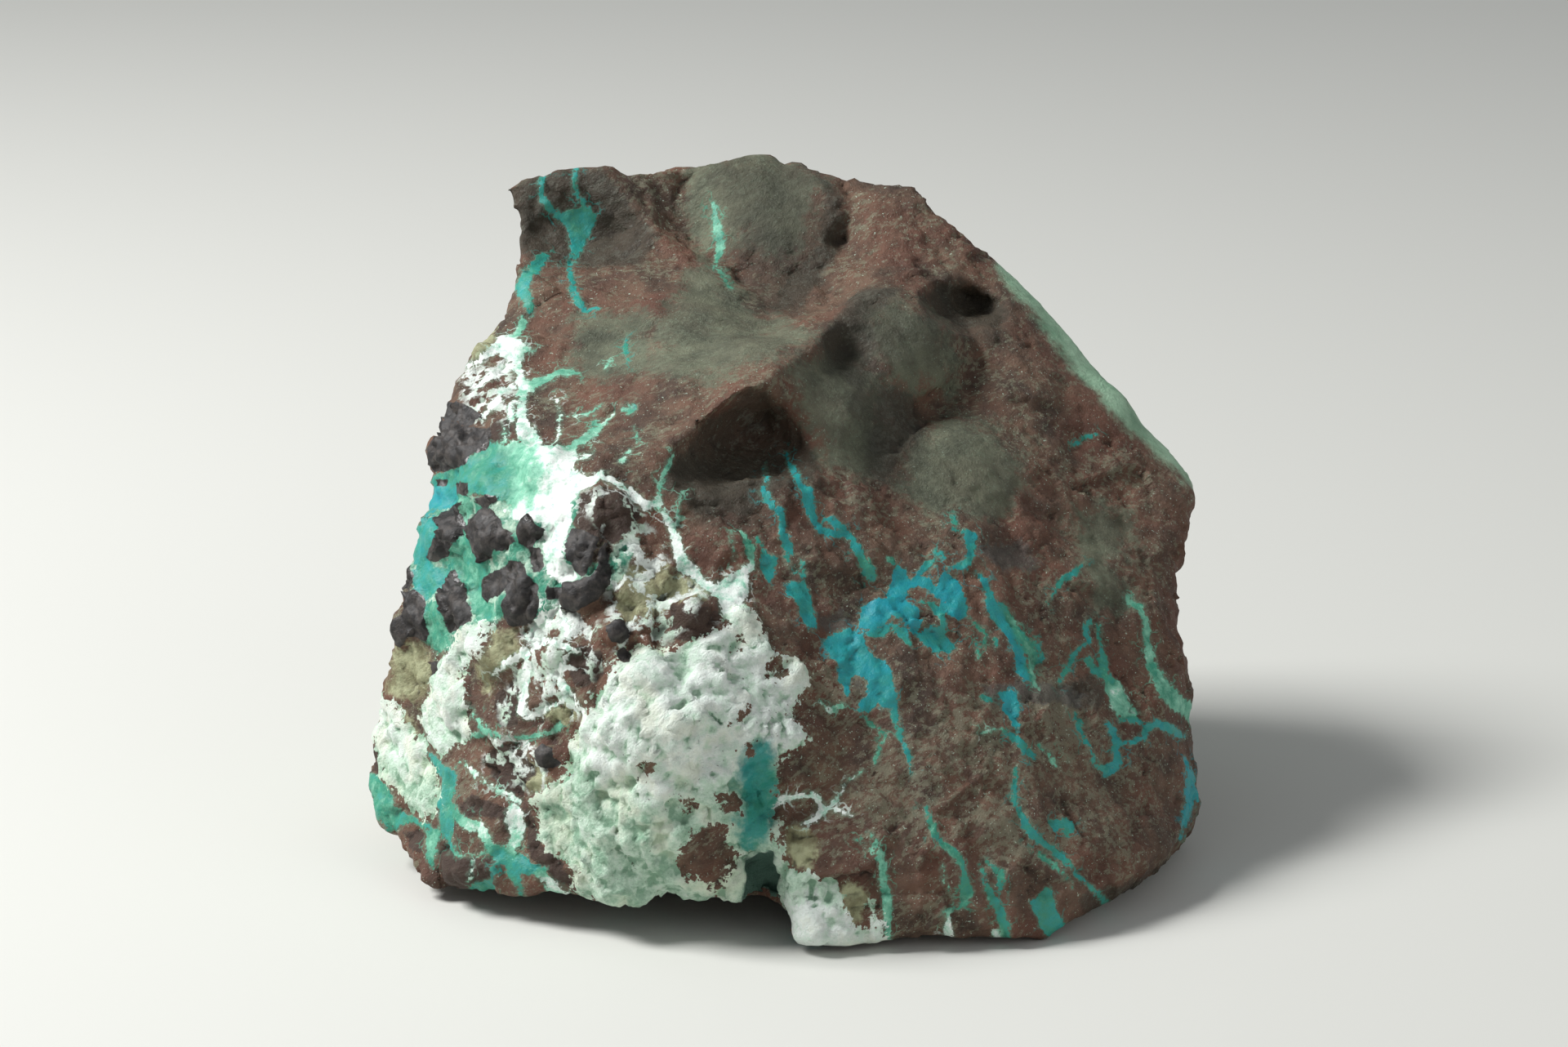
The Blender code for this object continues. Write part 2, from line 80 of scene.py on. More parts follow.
# How far noise moves the markings sideways, in mm.
WANDER_MM = 0.10

# How far patches reach past their outlines, in mm, before the noise eats into their edges.
PATCH_SWELL = 0.07

# Veins of the front. Each holds a tint, which is 0 for sky-blue turquoise, 0.5 for teal green and 1 for
# nearly white, and a route: x, y and half the width of one place after another, in points of the view.
VEINS = [
    (0.25, [964, 556, 1, 971, 574, 3, 977, 588, 4, 986, 602, 6, 991, 618, 6, 996, 636, 5, 1005, 649, 5,
     1020, 653, 5, 1034, 653, 4]),
    (0.3, [1010, 634, 2, 1020, 637, 5, 1030, 648, 5, 1042, 660, 4, 1048, 676, 5]),
    (0.5, [1048, 676, 4, 1056, 688, 7, 1064, 700, 6, 1068, 709, 3]),
    (0.25, [936, 570, 1, 938, 592, 2, 934, 603, 3, 944, 617, 4, 956, 630, 4, 960, 644, 5, 957, 656, 4, 964,
     668, 6, 970, 677, 3]),
    (0.4, [958, 668, 2, 966, 686, 2, 975, 700, 1]),
    (0.5, [927, 660, 3, 933, 672, 2, 937, 682, 3]),
    (0.45, [983, 686, 2, 986, 700, 3, 986, 714, 2]),
    (0.65, [903, 652, 2, 910, 659, 4, 916, 671, 6, 920, 683, 5, 921, 694, 4]),
    (0.6, [893, 658, 1, 895, 673, 1, 897, 684, 1]),
    (0.32, [1090, 848, 7, 1094, 868, 5, 1098, 888, 4, 1106, 906, 3, 1114, 925, 3, 1117, 948, 1]),
    (0.45, [1128, 737, 2, 1141, 741, 4, 1149, 751, 5, 1152, 765, 4, 1153, 780, 5]),
    (0.4, [1094, 768, 4, 1104, 776, 6, 1113, 788, 3]),
    (0.45, [1064, 778, 4, 1078, 776, 5, 1086, 772, 3]),
    (0.35, [1146, 676, 2, 1152, 682, 4, 1157, 688, 1]),
    (0.6, [1084, 690, 2, 1090, 687, 4, 1098, 693, 1]),
    (0.4, [1128, 701, 4, 1138, 692, 5, 1144, 691, 2]),
    (0.45, [1167, 630, 2, 1171, 646, 3]),
    (0.3, [1180, 652, 3, 1189, 657, 7, 1190, 670, 6, 1186, 684, 5, 1181, 694, 4, 1163, 698, 2]),
    (0.28, [1195, 700, 2, 1204, 712, 3, 1211, 728, 4, 1216, 745, 8]),
    (0.1, [1216, 745, 8, 1226, 762, 6, 1236, 782, 6, 1246, 802, 6, 1254, 820, 6, 1258, 832, 3]),
    (0.62, [1228, 744, 4, 1238, 760, 5, 1248, 779, 6, 1259, 795, 8, 1268, 808, 6]),
    (0.3, [1270, 788, 3, 1277, 806, 4]),
    (0.85, [1264, 806, 4, 1264, 822, 4, 1268, 840, 3]),
    (0.15, [1228, 849, 3, 1238, 853, 8, 1239, 866, 8, 1242, 880, 5, 1247, 893, 2]),
    (0.45, [1206, 852, 3, 1214, 857, 4, 1222, 860, 1]),
    (0.28, [1230, 896, 2, 1242, 902, 4, 1252, 912, 5, 1260, 920, 3, 1270, 930, 1]),
    (0.35, [1253, 914, 2, 1253, 934, 1]),
    (0.8, [1198, 898, 1, 1216, 893, 2, 1231, 894, 1]),
    (0.7, [1271, 910, 1, 1282, 922, 2, 1294, 937, 1]),
    (0.38, [1244, 940, 2, 1244, 962, 2, 1245, 982, 3, 1252, 1002, 4, 1262, 1022, 5, 1276, 1032, 5, 1290,
     1040, 5, 1302, 1052, 4, 1312, 1066, 3, 1326, 1080, 3, 1340, 1091, 3]),
    (0.6, [1273, 1046, 2, 1286, 1056, 3, 1298, 1068, 2, 1312, 1088, 1]),
    (0.4, [1318, 541, 2, 1330, 533, 3, 1345, 531, 1]),
    (0.4, [1284, 740, 1, 1294, 722, 3, 1304, 708, 4, 1316, 700, 4, 1328, 690, 1]),
    (0.66, [1380, 730, 3, 1393, 747, 5, 1402, 766, 5, 1402, 785, 4, 1406, 800, 4, 1414, 822, 7, 1424, 844,
     9, 1440, 860, 10, 1458, 873, 10, 1469, 884, 7]),
    (0.4, [1334, 762, 4, 1334, 785, 3, 1326, 792, 2, 1314, 806, 4, 1305, 822, 4, 1296, 838, 1]),
    (0.5, [1347, 766, 2, 1349, 788, 2, 1353, 808, 5, 1354, 826, 4]),
    (0.42, [1335, 804, 3, 1342, 816, 5, 1354, 826, 5, 1362, 838, 6]),
    (0.25, [1374, 880, 3, 1386, 881, 5, 1399, 885, 3]),
    (0.27, [1351, 888, 3, 1360, 894, 6, 1364, 908, 4, 1364, 924, 4, 1366, 936, 6, 1356, 944, 7]),
    (0.3, [1368, 912, 2, 1384, 911, 4, 1398, 905, 4, 1404, 893, 5, 1418, 887, 5, 1432, 894, 5, 1447, 901,
     3]),
    (0.4, [1317, 874, 2, 1322, 892, 3, 1326, 906, 2, 1334, 924, 2, 1342, 938, 2, 1352, 944, 3]),
    (0.12, [1451, 928, 2, 1460, 950, 5, 1460, 976, 6, 1455, 1000, 5, 1446, 1028, 2]),
    (0.6, [1184, 750, 1, 1198, 766, 2, 1208, 776, 3, 1203, 792, 1]),
    (0.5, [1194, 788, 3, 1200, 808, 1]),
    (0.5, [1219, 786, 3, 1221, 793, 1]),
    (0.5, [1134, 988, 2, 1137, 1002, 3, 1142, 1020, 4, 1156, 1036, 4, 1170, 1050, 4, 1180, 1062, 4, 1182,
     1078, 4, 1185, 1094, 8, 1182, 1108, 4]),
    (0.6, [1182, 1108, 3, 1168, 1112, 3, 1152, 1117, 2]),
    (0.95, [1164, 1114, 2, 1161, 1132, 4, 1163, 1160, 5]),
    (0.48, [1202, 1058, 1, 1206, 1080, 3, 1216, 1100, 5, 1228, 1120, 5, 1232, 1140, 5, 1238, 1162, 4]),
    (0.5, [1209, 1054, 1, 1222, 1072, 4, 1226, 1090, 2]),
    (0.9, [1221, 1144, 5, 1225, 1160, 5]),
    (0.7, [1048, 1028, 1, 1062, 1038, 2, 1077, 1052, 2]),
    (0.68, [1062, 1020, 1, 1076, 1038, 3, 1082, 1056, 4, 1080, 1076, 5, 1083, 1096, 6, 1087, 1120, 5, 1088,
     1148, 4]),
    (0.75, [1155, 1058, 1, 1158, 1080, 2, 1165, 1096, 1]),
    (0.4, [1344, 1094, 4, 1354, 1108, 4, 1371, 1112, 2]),
    (0.8, [1003, 857, 1, 1018, 868, 3, 1036, 864, 1]),
    (0.6, [1058, 878, 1, 1074, 892, 2, 1088, 901, 1]),
    (0.6, [1086, 902, 1, 1078, 922, 2, 1068, 938, 1]),
    (1.0, [946, 988, 4, 960, 978, 3, 980, 976, 3, 998, 972, 3, 1004, 982, 4, 1008, 994, 4, 1000, 1006, 4,
     984, 1011, 2]),
    (0.92, [1010, 994, 3, 1020, 984, 3, 1032, 968, 1]),
    (0.95, [1020, 989, 2, 1034, 996, 2, 1044, 1001, 1]),
    (0.85, [1030, 966, 1, 1036, 956, 1, 1056, 944, 1]),
    (0.97, [704, 596, 10, 738, 584, 5, 752, 588, 4, 764, 596, 3, 774, 602, 4, 780, 612, 5, 789, 621, 5, 800,
     618, 4, 806, 612, 3]),
    (0.95, [806, 614, 4, 812, 628, 3, 822, 643, 4, 826, 660, 6, 830, 675, 6, 837, 691, 9, 852, 702, 7, 864,
     716, 6, 880, 726, 7, 893, 745, 10, 902, 762, 9]),
    (0.7, [821, 559, 3, 816, 575, 3, 810, 592, 3, 806, 612, 3]),
    (0.72, [826, 648, 2, 829, 624, 2, 835, 602, 1]),
    (0.93, [920, 692, 4, 908, 701, 6, 892, 712, 6, 880, 722, 6]),
    (0.42, [670, 311, 3, 656, 324, 6, 644, 338, 8, 640, 352, 7, 646, 368, 6, 650, 385, 2]),
    (0.5, [618, 347, 2, 630, 352, 3, 640, 352, 3]),
    (0.7, [640, 390, 4, 638, 402, 3, 633, 413, 4]),
    (0.92, [632, 438, 5, 634, 455, 5, 637, 468, 5, 644, 477, 7]),
    (0.7, [640, 480, 7, 652, 473, 6, 668, 467, 5, 682, 458, 3, 692, 456, 4, 707, 457, 2]),
    (0.92, [642, 484, 4, 638, 496, 4, 638, 510, 7, 641, 524, 11, 650, 538, 12]),
    (0.8, [640, 428, 3, 654, 432, 1]),
    (1.0, [628, 446, 3, 612, 454, 3, 598, 464, 4, 584, 473, 1]),
    (0.98, [604, 430, 4, 592, 436, 4, 578, 446, 3, 566, 458, 1]),
    (0.98, [630, 469, 2, 622, 473, 2, 612, 480, 3, 608, 492, 5, 600, 500, 3, 590, 510, 1]),
    (0.95, [640, 490, 2, 626, 494, 2, 624, 512, 3]),
    (0.9, [615, 520, 1, 618, 534, 2, 623, 547, 2]),
    (0.92, [681, 489, 3, 683, 500, 1, 685, 512, 2, 685, 526, 2, 682, 537, 2, 672, 545, 2]),
    (0.8, [686, 509, 1, 704, 510, 1, 722, 508, 1, 732, 500, 1]),
    (0.6, [727, 508, 1, 727, 520, 3, 722, 532, 4, 712, 542, 4, 698, 552, 4]),
    (0.9, [751, 504, 1, 740, 514, 2, 730, 526, 4, 716, 540, 5]),
    (0.9, [724, 550, 1, 727, 560, 1, 714, 563, 2]),
    (0.5, [760, 501, 1, 770, 502, 4, 778, 498, 1]),
    (0.4, [768, 410, 1, 764, 424, 3, 771, 441, 1]),
    (0.8, [749, 439, 1, 741, 449, 2]),
    (0.65, [777, 522, 1, 780, 542, 2]),
    (0.8, [762, 565, 3, 771, 552, 1]),
    (0.42, [697, 355, 2, 706, 371, 4, 716, 381, 4, 733, 378, 1]),
    (0.4, [664, 204, 4, 661, 225, 3, 663, 242, 3, 672, 256, 4, 686, 268, 4, 698, 280, 5]),
    (0.4, [704, 203, 3, 702, 220, 3, 704, 236, 3, 716, 248, 3]),
    (0.35, [699, 316, 2, 698, 335, 3, 701, 352, 4, 707, 370, 3]),
    (0.6, [872, 248, 2, 876, 270, 4, 880, 290, 5, 881, 310, 5, 876, 328, 2]),
    (0.65, [882, 330, 2, 888, 342, 2, 897, 353, 1]),
    (1.0, [642, 796, 4, 646, 820, 5, 640, 850, 4, 636, 868, 6, 646, 878, 3, 666, 870, 4, 684, 860, 3, 690,
     840, 4, 680, 826, 5, 692, 806, 3]),
    (1.0, [662, 736, 2, 664, 752, 4, 652, 766, 3, 646, 780, 4, 656, 790, 4, 672, 786, 3, 692, 792, 4, 706,
     800, 3]),
    (1.0, [684, 736, 4, 690, 756, 3, 694, 778, 2]),
    (1.0, [677, 744, 3, 668, 762, 2, 660, 776, 2]),
    (0.98, [690, 838, 3, 700, 850, 4, 708, 866, 4, 716, 878, 3]),
    (0.96, [602, 826, 1, 618, 812, 3, 634, 804, 4]),
    (0.5, [478, 1014, 4, 490, 1004, 5, 506, 1004, 3, 522, 1011, 4, 536, 1019, 2]),
    (0.42, [530, 922, 2, 542, 940, 7, 553, 950, 10, 552, 968, 7, 544, 985, 6, 548, 1000, 7, 546, 1020, 6,
     554, 1042, 3]),
    (0.62, [552, 992, 6, 566, 1006, 5, 580, 1009, 5]),
    (0.95, [574, 1009, 6, 588, 1017, 7, 600, 1031, 5]),
    (0.36, [600, 1034, 4, 612, 1046, 9, 630, 1054, 11, 650, 1062, 8, 664, 1067, 5]),
    (0.95, [660, 1068, 5, 672, 1082, 6, 686, 1094, 6, 700, 1104, 3]),
    (0.5, [628, 1068, 7, 636, 1080, 4, 638, 1096, 3]),
    (0.9, [626, 1038, 5, 632, 1024, 8, 634, 1008, 8, 632, 992, 5, 624, 974, 2, 608, 966, 2, 592, 956, 2,
     578, 942, 2, 564, 932, 1]),
    (0.48, [610, 1064, 4, 600, 1080, 4, 584, 1088, 6, 568, 1098, 4]),
    (0.95, [578, 1046, 1, 576, 1072, 1]),
    (0.65, [552, 1046, 2, 570, 1048, 1, 588, 1044, 1, 606, 1040, 2]),
    (0.68, [576, 900, 3, 600, 898, 2, 620, 905, 2, 650, 904, 3, 672, 900, 3, 682, 892, 4]),
    (0.72, [570, 860, 1, 585, 878, 2, 602, 897, 2]),
]

# Patches of the same minerals: a tint, and x and y along a closed outline.
PATCHES = [
    (0.28, [932, 681, 940, 678, 950, 684, 949, 700, 942, 713, 937, 700]),
    (0.28, [961, 716, 972, 713, 988, 714, 992, 726, 995, 745, 998, 760, 997, 774, 991, 772, 987, 762, 979,
     750, 973, 733, 965, 727]),
    (0.16, [1010, 784, 1024, 774, 1036, 771, 1046, 774, 1056, 782, 1062, 796, 1072, 806, 1084, 812, 1090,
     826, 1093, 842, 1096, 858, 1086, 866, 1074, 860, 1064, 872, 1050, 872, 1052, 858, 1064, 850, 1062, 834,
     1052, 824, 1040, 828, 1036, 850, 1032, 838, 1022, 812, 1014, 800]),
    (0.08, [1050, 772, 1056, 752, 1060, 740, 1074, 737, 1086, 736, 1090, 722, 1094, 705, 1100, 694, 1108,
     698, 1112, 711, 1126, 706, 1140, 713, 1149, 721, 1150, 711, 1160, 704, 1170, 712, 1178, 730, 1184, 743,
     1182, 755, 1170, 757, 1156, 752, 1150, 745, 1151, 734, 1140, 725, 1128, 719, 1114, 719, 1109, 727,
     1109, 740, 1119, 747, 1125, 760, 1123, 774, 1115, 773, 1104, 761, 1092, 756, 1082, 768, 1066, 773]),
    (0.28, [1122, 776, 1140, 769, 1156, 779, 1171, 790, 1162, 797, 1146, 796, 1134, 788]),
    (0.35, [1286, 1008, 1306, 1004, 1312, 1018, 1306, 1026, 1298, 1016, 1288, 1016]),
    (0.8, [1354, 846, 1360, 836, 1370, 833, 1380, 846, 1384, 860, 1396, 872, 1388, 880, 1376, 878, 1362,
     868, 1360, 856]),
    (0.42, [1264, 1104, 1278, 1096, 1284, 1086, 1290, 1092, 1288, 1110, 1300, 1132, 1302, 1142, 1288, 1152,
     1274, 1136, 1268, 1120]),
    (0.98, [872, 718, 884, 709, 900, 702, 914, 703, 917, 718, 910, 735, 904, 755, 890, 752]),
    (0.95, [604, 428, 612, 416, 628, 414, 639, 424, 639, 440, 630, 446, 618, 440]),
    (0.4, [690, 262, 702, 256, 720, 250, 728, 262, 722, 284, 712, 304, 704, 318, 698, 300]),
    (0.5, [534, 590, 548, 576, 566, 570, 582, 556, 596, 544, 612, 546, 630, 552, 634, 575, 632, 600, 626,
     616, 608, 612, 594, 604, 576, 604, 560, 600, 545, 600]),
    (0.74, [616, 546, 640, 542, 664, 550, 668, 580, 664, 610, 650, 626, 630, 624, 622, 600, 626, 570]),
    (1.0, [650, 538, 680, 547, 702, 552, 707, 566, 697, 576, 716, 582, 722, 592, 706, 604, 698, 620, 700,
     642, 690, 664, 690, 690, 700, 706, 684, 712, 668, 700, 666, 660, 662, 640, 628, 634, 618, 624, 648,
     620, 656, 600, 658, 570]),
    (0.12, [528, 606, 540, 598, 560, 600, 562, 618, 548, 624, 528, 632]),
    (0.38, [502, 664, 514, 650, 526, 636, 542, 648, 530, 670, 526, 690, 540, 700, 548, 694, 546, 712, 536,
     724, 520, 734, 508, 724, 506, 704, 512, 692, 504, 680]),
    (0.58, [550, 668, 566, 656, 578, 660, 584, 680, 598, 688, 600, 704, 590, 716, 592, 732, 604, 740, 608,
     756, 600, 764, 584, 762, 578, 750, 574, 730, 562, 714, 550, 698]),
    (0.6, [520, 744, 536, 736, 542, 756, 548, 772, 556, 790, 536, 800, 526, 784, 518, 764]),
    (0.7, [556, 612, 566, 602, 575, 612, 577, 632, 570, 646, 561, 640]),
    (0.56, [450, 946, 466, 954, 478, 968, 486, 990, 494, 1002, 480, 1016, 466, 1000, 456, 975]),
    (0.62, [521, 1018, 541, 1018, 534, 1040, 530, 1062, 524, 1040]),
    (0.5, [572, 1094, 588, 1082, 606, 1084, 602, 1106, 580, 1104]),
    (0.97, [626, 992, 638, 994, 640, 1020, 628, 1026, 620, 1010]),
]

# The pale band along the right-hand rim, as a route.
RIM_BAND = [1236, 330, 12, 1275, 372, 12, 1318, 430, 12, 1358, 480, 12, 1400, 522, 12, 1440, 556, 12, 1478,
 596, 12]

# Closed outlines, as x and y of one place after another, of everything else that the front shows.
ZONES = {
    # The powdery pale crust, and bare spots in it.
    "crust": [
        [654, 985, 664, 972, 682, 962, 690, 940, 697, 915, 706, 888, 718, 870, 722, 852, 738, 840, 748, 822,
         752, 804, 768, 795, 798, 793, 822, 793, 840, 786, 868, 776, 886, 764, 898, 748, 912, 742, 924, 757,
         936, 774, 944, 792, 962, 799, 986, 813, 991, 830, 984, 846, 968, 868, 972, 884, 988, 894, 990, 904,
         976, 920, 960, 930, 953, 948, 950, 975, 946, 1000, 950, 1040, 955, 1075, 958, 1114, 905, 1116, 880,
         1110, 862, 1114, 830, 1116, 800, 1120, 798, 1134, 780, 1132, 750, 1116, 712, 1100, 700, 1090, 702,
         1060, 688, 1054, 664, 1036, 660, 1012],
        [944, 1000, 958, 994, 962, 1010, 956, 1040, 964, 1064, 985, 1068, 1004, 1072, 1024, 1084, 1030,
         1110, 1040, 1131, 1058, 1136, 1066, 1110, 1072, 1100, 1078, 1130, 1086, 1150, 1082, 1172, 1040,
         1182, 1000, 1182, 970, 1178, 938, 1170, 950, 1150, 964, 1126, 958, 1105, 950, 1080, 940, 1050],
        [556, 794, 574, 766, 590, 758, 606, 762, 600, 780, 590, 800, 572, 810, 562, 832, 572, 860, 575, 890,
         578, 902, 560, 912, 545, 924, 530, 906, 518, 890, 516, 870, 522, 850, 524, 830, 540, 808],
        [444, 868, 460, 852, 482, 858, 497, 876, 513, 896, 530, 908, 534, 940, 542, 964, 537, 996, 518,
         1006, 500, 990, 490, 972, 474, 966, 464, 950, 461, 925, 456, 905, 444, 892],
    ],
    "bare": [
        [782, 940, 798, 936, 804, 944, 790, 954],
        [902, 782, 908, 780, 908, 794, 899, 794],
        [900, 882, 916, 866, 919, 871, 906, 886],
        [906, 914, 926, 908, 918, 926],
        [820, 982, 836, 974, 852, 984, 840, 993],
        [876, 974, 898, 970, 898, 996, 878, 992],
        [834, 1038, 850, 1016, 874, 1008, 896, 1006, 888, 1030, 903, 1046, 900, 1060, 884, 1078, 876, 1104,
         868, 1078, 844, 1076, 828, 1062],
        [938, 818, 952, 806, 964, 809, 956, 824, 940, 829],
        [500, 850, 512, 852, 508, 880, 498, 878],
    ],
    # The whitest crust, its glassy teal streak, and the grey-green stone under its foot, whose dark colour is
    # partly painted shade under the crust's overhang.
    "core": [
        [700, 908, 716, 872, 750, 815, 800, 796, 890, 745, 930, 755, 990, 815, 990, 905, 950, 925, 900, 950,
         860, 965, 800, 975, 745, 960],
        [935, 1130, 1000, 1085, 1030, 1120, 1090, 1130, 1090, 1185, 935, 1180],
        [448, 866, 480, 862, 512, 900, 520, 930, 500, 950, 470, 925, 450, 900],
        [556, 790, 580, 760, 606, 760, 590, 800, 572, 850, 570, 905, 540, 915, 520, 880, 530, 850],
    ],
    "streak": [
        [903, 935, 918, 918, 936, 905, 948, 925, 952, 960, 948, 1000, 940, 1028, 925, 1036, 908, 1025, 902,
         1000, 906, 970],
    ],
    "sage": [
        [914, 1050, 946, 1042, 955, 1075, 958, 1116, 906, 1116],
    ],
    # Dark angular lumps.
    "lump": [
        [526, 538, 534, 524, 550, 516, 566, 521, 580, 524, 596, 522, 602, 536, 592, 550, 576, 556, 572, 570,
         556, 572, 540, 575, 528, 583, 530, 560],
        [530, 505, 550, 492, 574, 498, 590, 510, 572, 519, 550, 512, 534, 520, 526, 516],
        [522, 685, 527, 664, 541, 651, 534, 641, 548, 629, 557, 618, 569, 616, 568, 634, 571, 645, 558, 662,
         549, 668, 541, 682, 530, 687],
        [571, 652, 575, 637, 588, 625, 600, 624, 611, 635, 616, 646, 627, 654, 632, 661, 623, 668, 621, 675,
         608, 674, 602, 668, 603, 683, 592, 688, 582, 677, 577, 664],
        [579, 611, 600, 606, 613, 610, 600, 618, 586, 620],
        [634, 650, 637, 636, 650, 633, 656, 645, 665, 651, 657, 661, 649, 672, 640, 667],
        [648, 671, 661, 671, 665, 684, 661, 701, 652, 699, 647, 685],
        [534, 736, 540, 722, 547, 705, 553, 698, 562, 711, 571, 720, 569, 736, 577, 752, 572, 768, 560, 771,
         552, 776, 545, 758, 537, 746],
        [589, 716, 600, 703, 612, 699, 619, 712, 613, 727, 602, 731, 596, 738, 590, 729],
        [611, 706, 619, 693, 628, 687, 638, 690, 646, 706, 657, 717, 659, 734, 656, 753, 645, 765, 626, 766,
         617, 756, 620, 732, 618, 716],
        [482, 768, 493, 746, 499, 730, 508, 725, 521, 735, 518, 752, 520, 765, 528, 776, 522, 785, 509, 777,
         499, 777, 494, 791, 486, 789],
        [497, 688, 504, 692, 507, 710, 501, 726, 495, 716],
        [694, 662, 700, 649, 716, 651, 731, 658, 724, 671, 723, 690, 713, 704, 699, 697, 693, 682],
        [731, 671, 740, 664, 746, 684, 741, 693, 734, 691],
        [687, 729, 694, 713, 707, 709, 722, 706, 731, 695, 742, 687, 750, 700, 747, 714, 741, 725, 730, 736,
         712, 743, 697, 749, 689, 744],
        [667, 719, 687, 719, 688, 731, 671, 732],
        [746, 770, 754, 759, 765, 761, 776, 772, 773, 783, 762, 789, 751, 785],
        [755, 799, 764, 793, 773, 800, 770, 809, 761, 809],
        [526, 811, 539, 810, 542, 823, 532, 828],
        [654, 922, 665, 914, 677, 918, 676, 928, 686, 934, 674, 943, 660, 937],
        [561, 593, 572, 591, 574, 604, 563, 606],
        [539, 589, 549, 589, 548, 597, 541, 596],
    ],
    # Chestnut-brown lumps and blocks, a shade redder and darker than the rock.
    "brown": [
        [701, 640, 702, 616, 717, 603, 740, 598, 762, 599, 777, 612, 784, 634, 776, 655, 757, 663, 744, 672,
         728, 660, 711, 650],
        [670, 680, 690, 681, 703, 690, 702, 703, 690, 706, 674, 694],
        [818, 744, 836, 740, 860, 742, 882, 752, 882, 766, 870, 776, 838, 788, 820, 784],
        [553, 1050, 572, 1048, 606, 1046, 620, 1058, 600, 1078, 576, 1084, 560, 1100, 546, 1096],
        [536, 1040, 552, 1032, 558, 1060, 558, 1098, 544, 1096],
        [690, 800, 712, 790, 736, 800, 740, 826, 714, 842, 700, 836],
        [604, 850, 618, 834, 634, 842, 640, 860, 632, 890, 608, 892],
        [590, 930, 612, 910, 640, 920, 658, 950, 640, 976, 610, 966],
        [560, 985, 580, 975, 610, 985, 628, 990, 620, 1006, 596, 1002, 566, 1000],
        [640, 985, 656, 1000, 664, 1034, 690, 1058, 700, 1090, 676, 1078, 650, 1050, 644, 1020],
        [487, 1016, 508, 1012, 520, 1020, 518, 1045, 500, 1040],
        [452, 914, 466, 910, 476, 944, 478, 962, 460, 952, 448, 940],
        [586, 530, 604, 512, 622, 510, 626, 530, 612, 554, 596, 548],
    ],
    # Tan and olive stone of the left side.
    "tan": [
        [600, 770, 633, 765, 640, 790, 634, 806, 604, 826, 606, 850, 590, 848, 574, 820, 590, 800],
        [482, 800, 502, 784, 524, 790, 528, 820, 522, 850, 514, 870, 502, 862, 474, 850],
        [760, 690, 814, 690, 850, 706, 875, 726, 862, 738, 830, 736, 810, 750, 770, 760, 752, 740],
        [572, 408, 606, 402, 612, 430, 580, 442, 560, 440],
        [664, 866, 690, 858, 706, 880, 694, 892, 660, 880],
        [1026, 1084, 1050, 1080, 1064, 1096, 1060, 1132, 1040, 1134, 1030, 1110],
        [956, 1144, 980, 1132, 1004, 1152, 1036, 1160, 1030, 1176, 966, 1172],
        [960, 1010, 990, 1012, 1004, 1040, 996, 1066, 966, 1062],
        [636, 676, 646, 680, 651, 700, 657, 712, 650, 717, 641, 704],
        [640, 930, 672, 944, 684, 956, 662, 970, 644, 965],
        [486, 862, 502, 872, 518, 896, 516, 912, 500, 900],
    ],
    # Painted shade over partly dark olive stone: the shadowed recesses, the hollow under the long ridge, the
    # pit, the shadowed sides of the blocks and the under-face of the lower right edge.
    "dark": [
        [618, 236, 650, 214, 700, 206, 738, 204, 766, 240, 805, 290, 788, 318, 752, 330, 690, 322, 650, 318,
         618, 306],
        [800, 592, 830, 560, 866, 518, 905, 486, 918, 477, 940, 480, 962, 500, 985, 535, 1006, 568, 996,
         588, 970, 596, 940, 612, 915, 634, 880, 622, 850, 630, 826, 606],
        [1125, 362, 1160, 343, 1200, 350, 1238, 382, 1215, 402, 1170, 398],
        [1002, 420, 1018, 392, 1042, 362, 1074, 350, 1106, 352, 1086, 372, 1068, 392, 1074, 420, 1062, 444,
         1058, 478, 1036, 470, 1016, 444],
        [1076, 470, 1120, 482, 1134, 530, 1104, 562, 1078, 598, 1060, 570],
        [1000, 205, 1028, 240, 1040, 290, 1012, 335, 985, 375, 940, 385, 960, 345, 1002, 300, 1010, 255],
        [1300, 838, 1340, 822, 1360, 850, 1340, 870, 1306, 866],
        [1316, 1100, 1400, 1072, 1462, 1030, 1466, 1060, 1400, 1100, 1330, 1136],
    ],
    # Painted soft shade under the long ridge and around the recesses.
    "shaded": [
        [806, 572, 840, 556, 1000, 556, 1012, 600, 964, 636, 900, 648, 840, 640, 816, 604],
        [1040, 470, 1110, 470, 1140, 540, 1110, 590, 1050, 600],
        [1110, 360, 1170, 335, 1250, 375, 1240, 420, 1180, 425, 1120, 400],
        [990, 410, 1050, 355, 1110, 350, 1130, 400, 1060, 480, 1000, 470],
        [620, 200, 740, 195, 810, 290, 780, 325, 640, 330],
        [880, 200, 1000, 190, 1030, 250, 1020, 330, 980, 390, 930, 390, 900, 340],
    ],
    # Where the rock is most speckled.
    "speckled": [
        [960, 840, 1180, 820, 1320, 860, 1420, 930, 1340, 1060, 1150, 1050, 1000, 1010],
    ],
    # Pale glassy stone between the dark lumps.
    "pale": [
        [556, 600, 640, 616, 706, 606, 700, 650, 694, 740, 662, 772, 640, 745, 600, 768, 572, 800, 548, 800,
         520, 790, 504, 740, 500, 660, 528, 630],
        [686, 600, 714, 600, 704, 640, 700, 690, 740, 690, 748, 676, 764, 662, 784, 662, 770, 700, 750, 724,
         700, 716, 672, 720, 664, 700],
    ],
    # Grey-green films on the rock.
    "film": [
        [800, 400, 826, 350, 858, 325, 884, 345, 920, 375, 960, 395, 1000, 410, 960, 440, 890, 470, 830,
         465, 790, 440],
        [1060, 380, 1100, 365, 1160, 395, 1174, 440, 1160, 480, 1110, 475, 1070, 430],
        [1098, 600, 1120, 540, 1160, 510, 1210, 520, 1250, 555, 1256, 600, 1220, 628, 1140, 634],
        [1316, 625, 1345, 612, 1386, 628, 1388, 665, 1372, 690, 1392, 742, 1345, 742, 1322, 695],
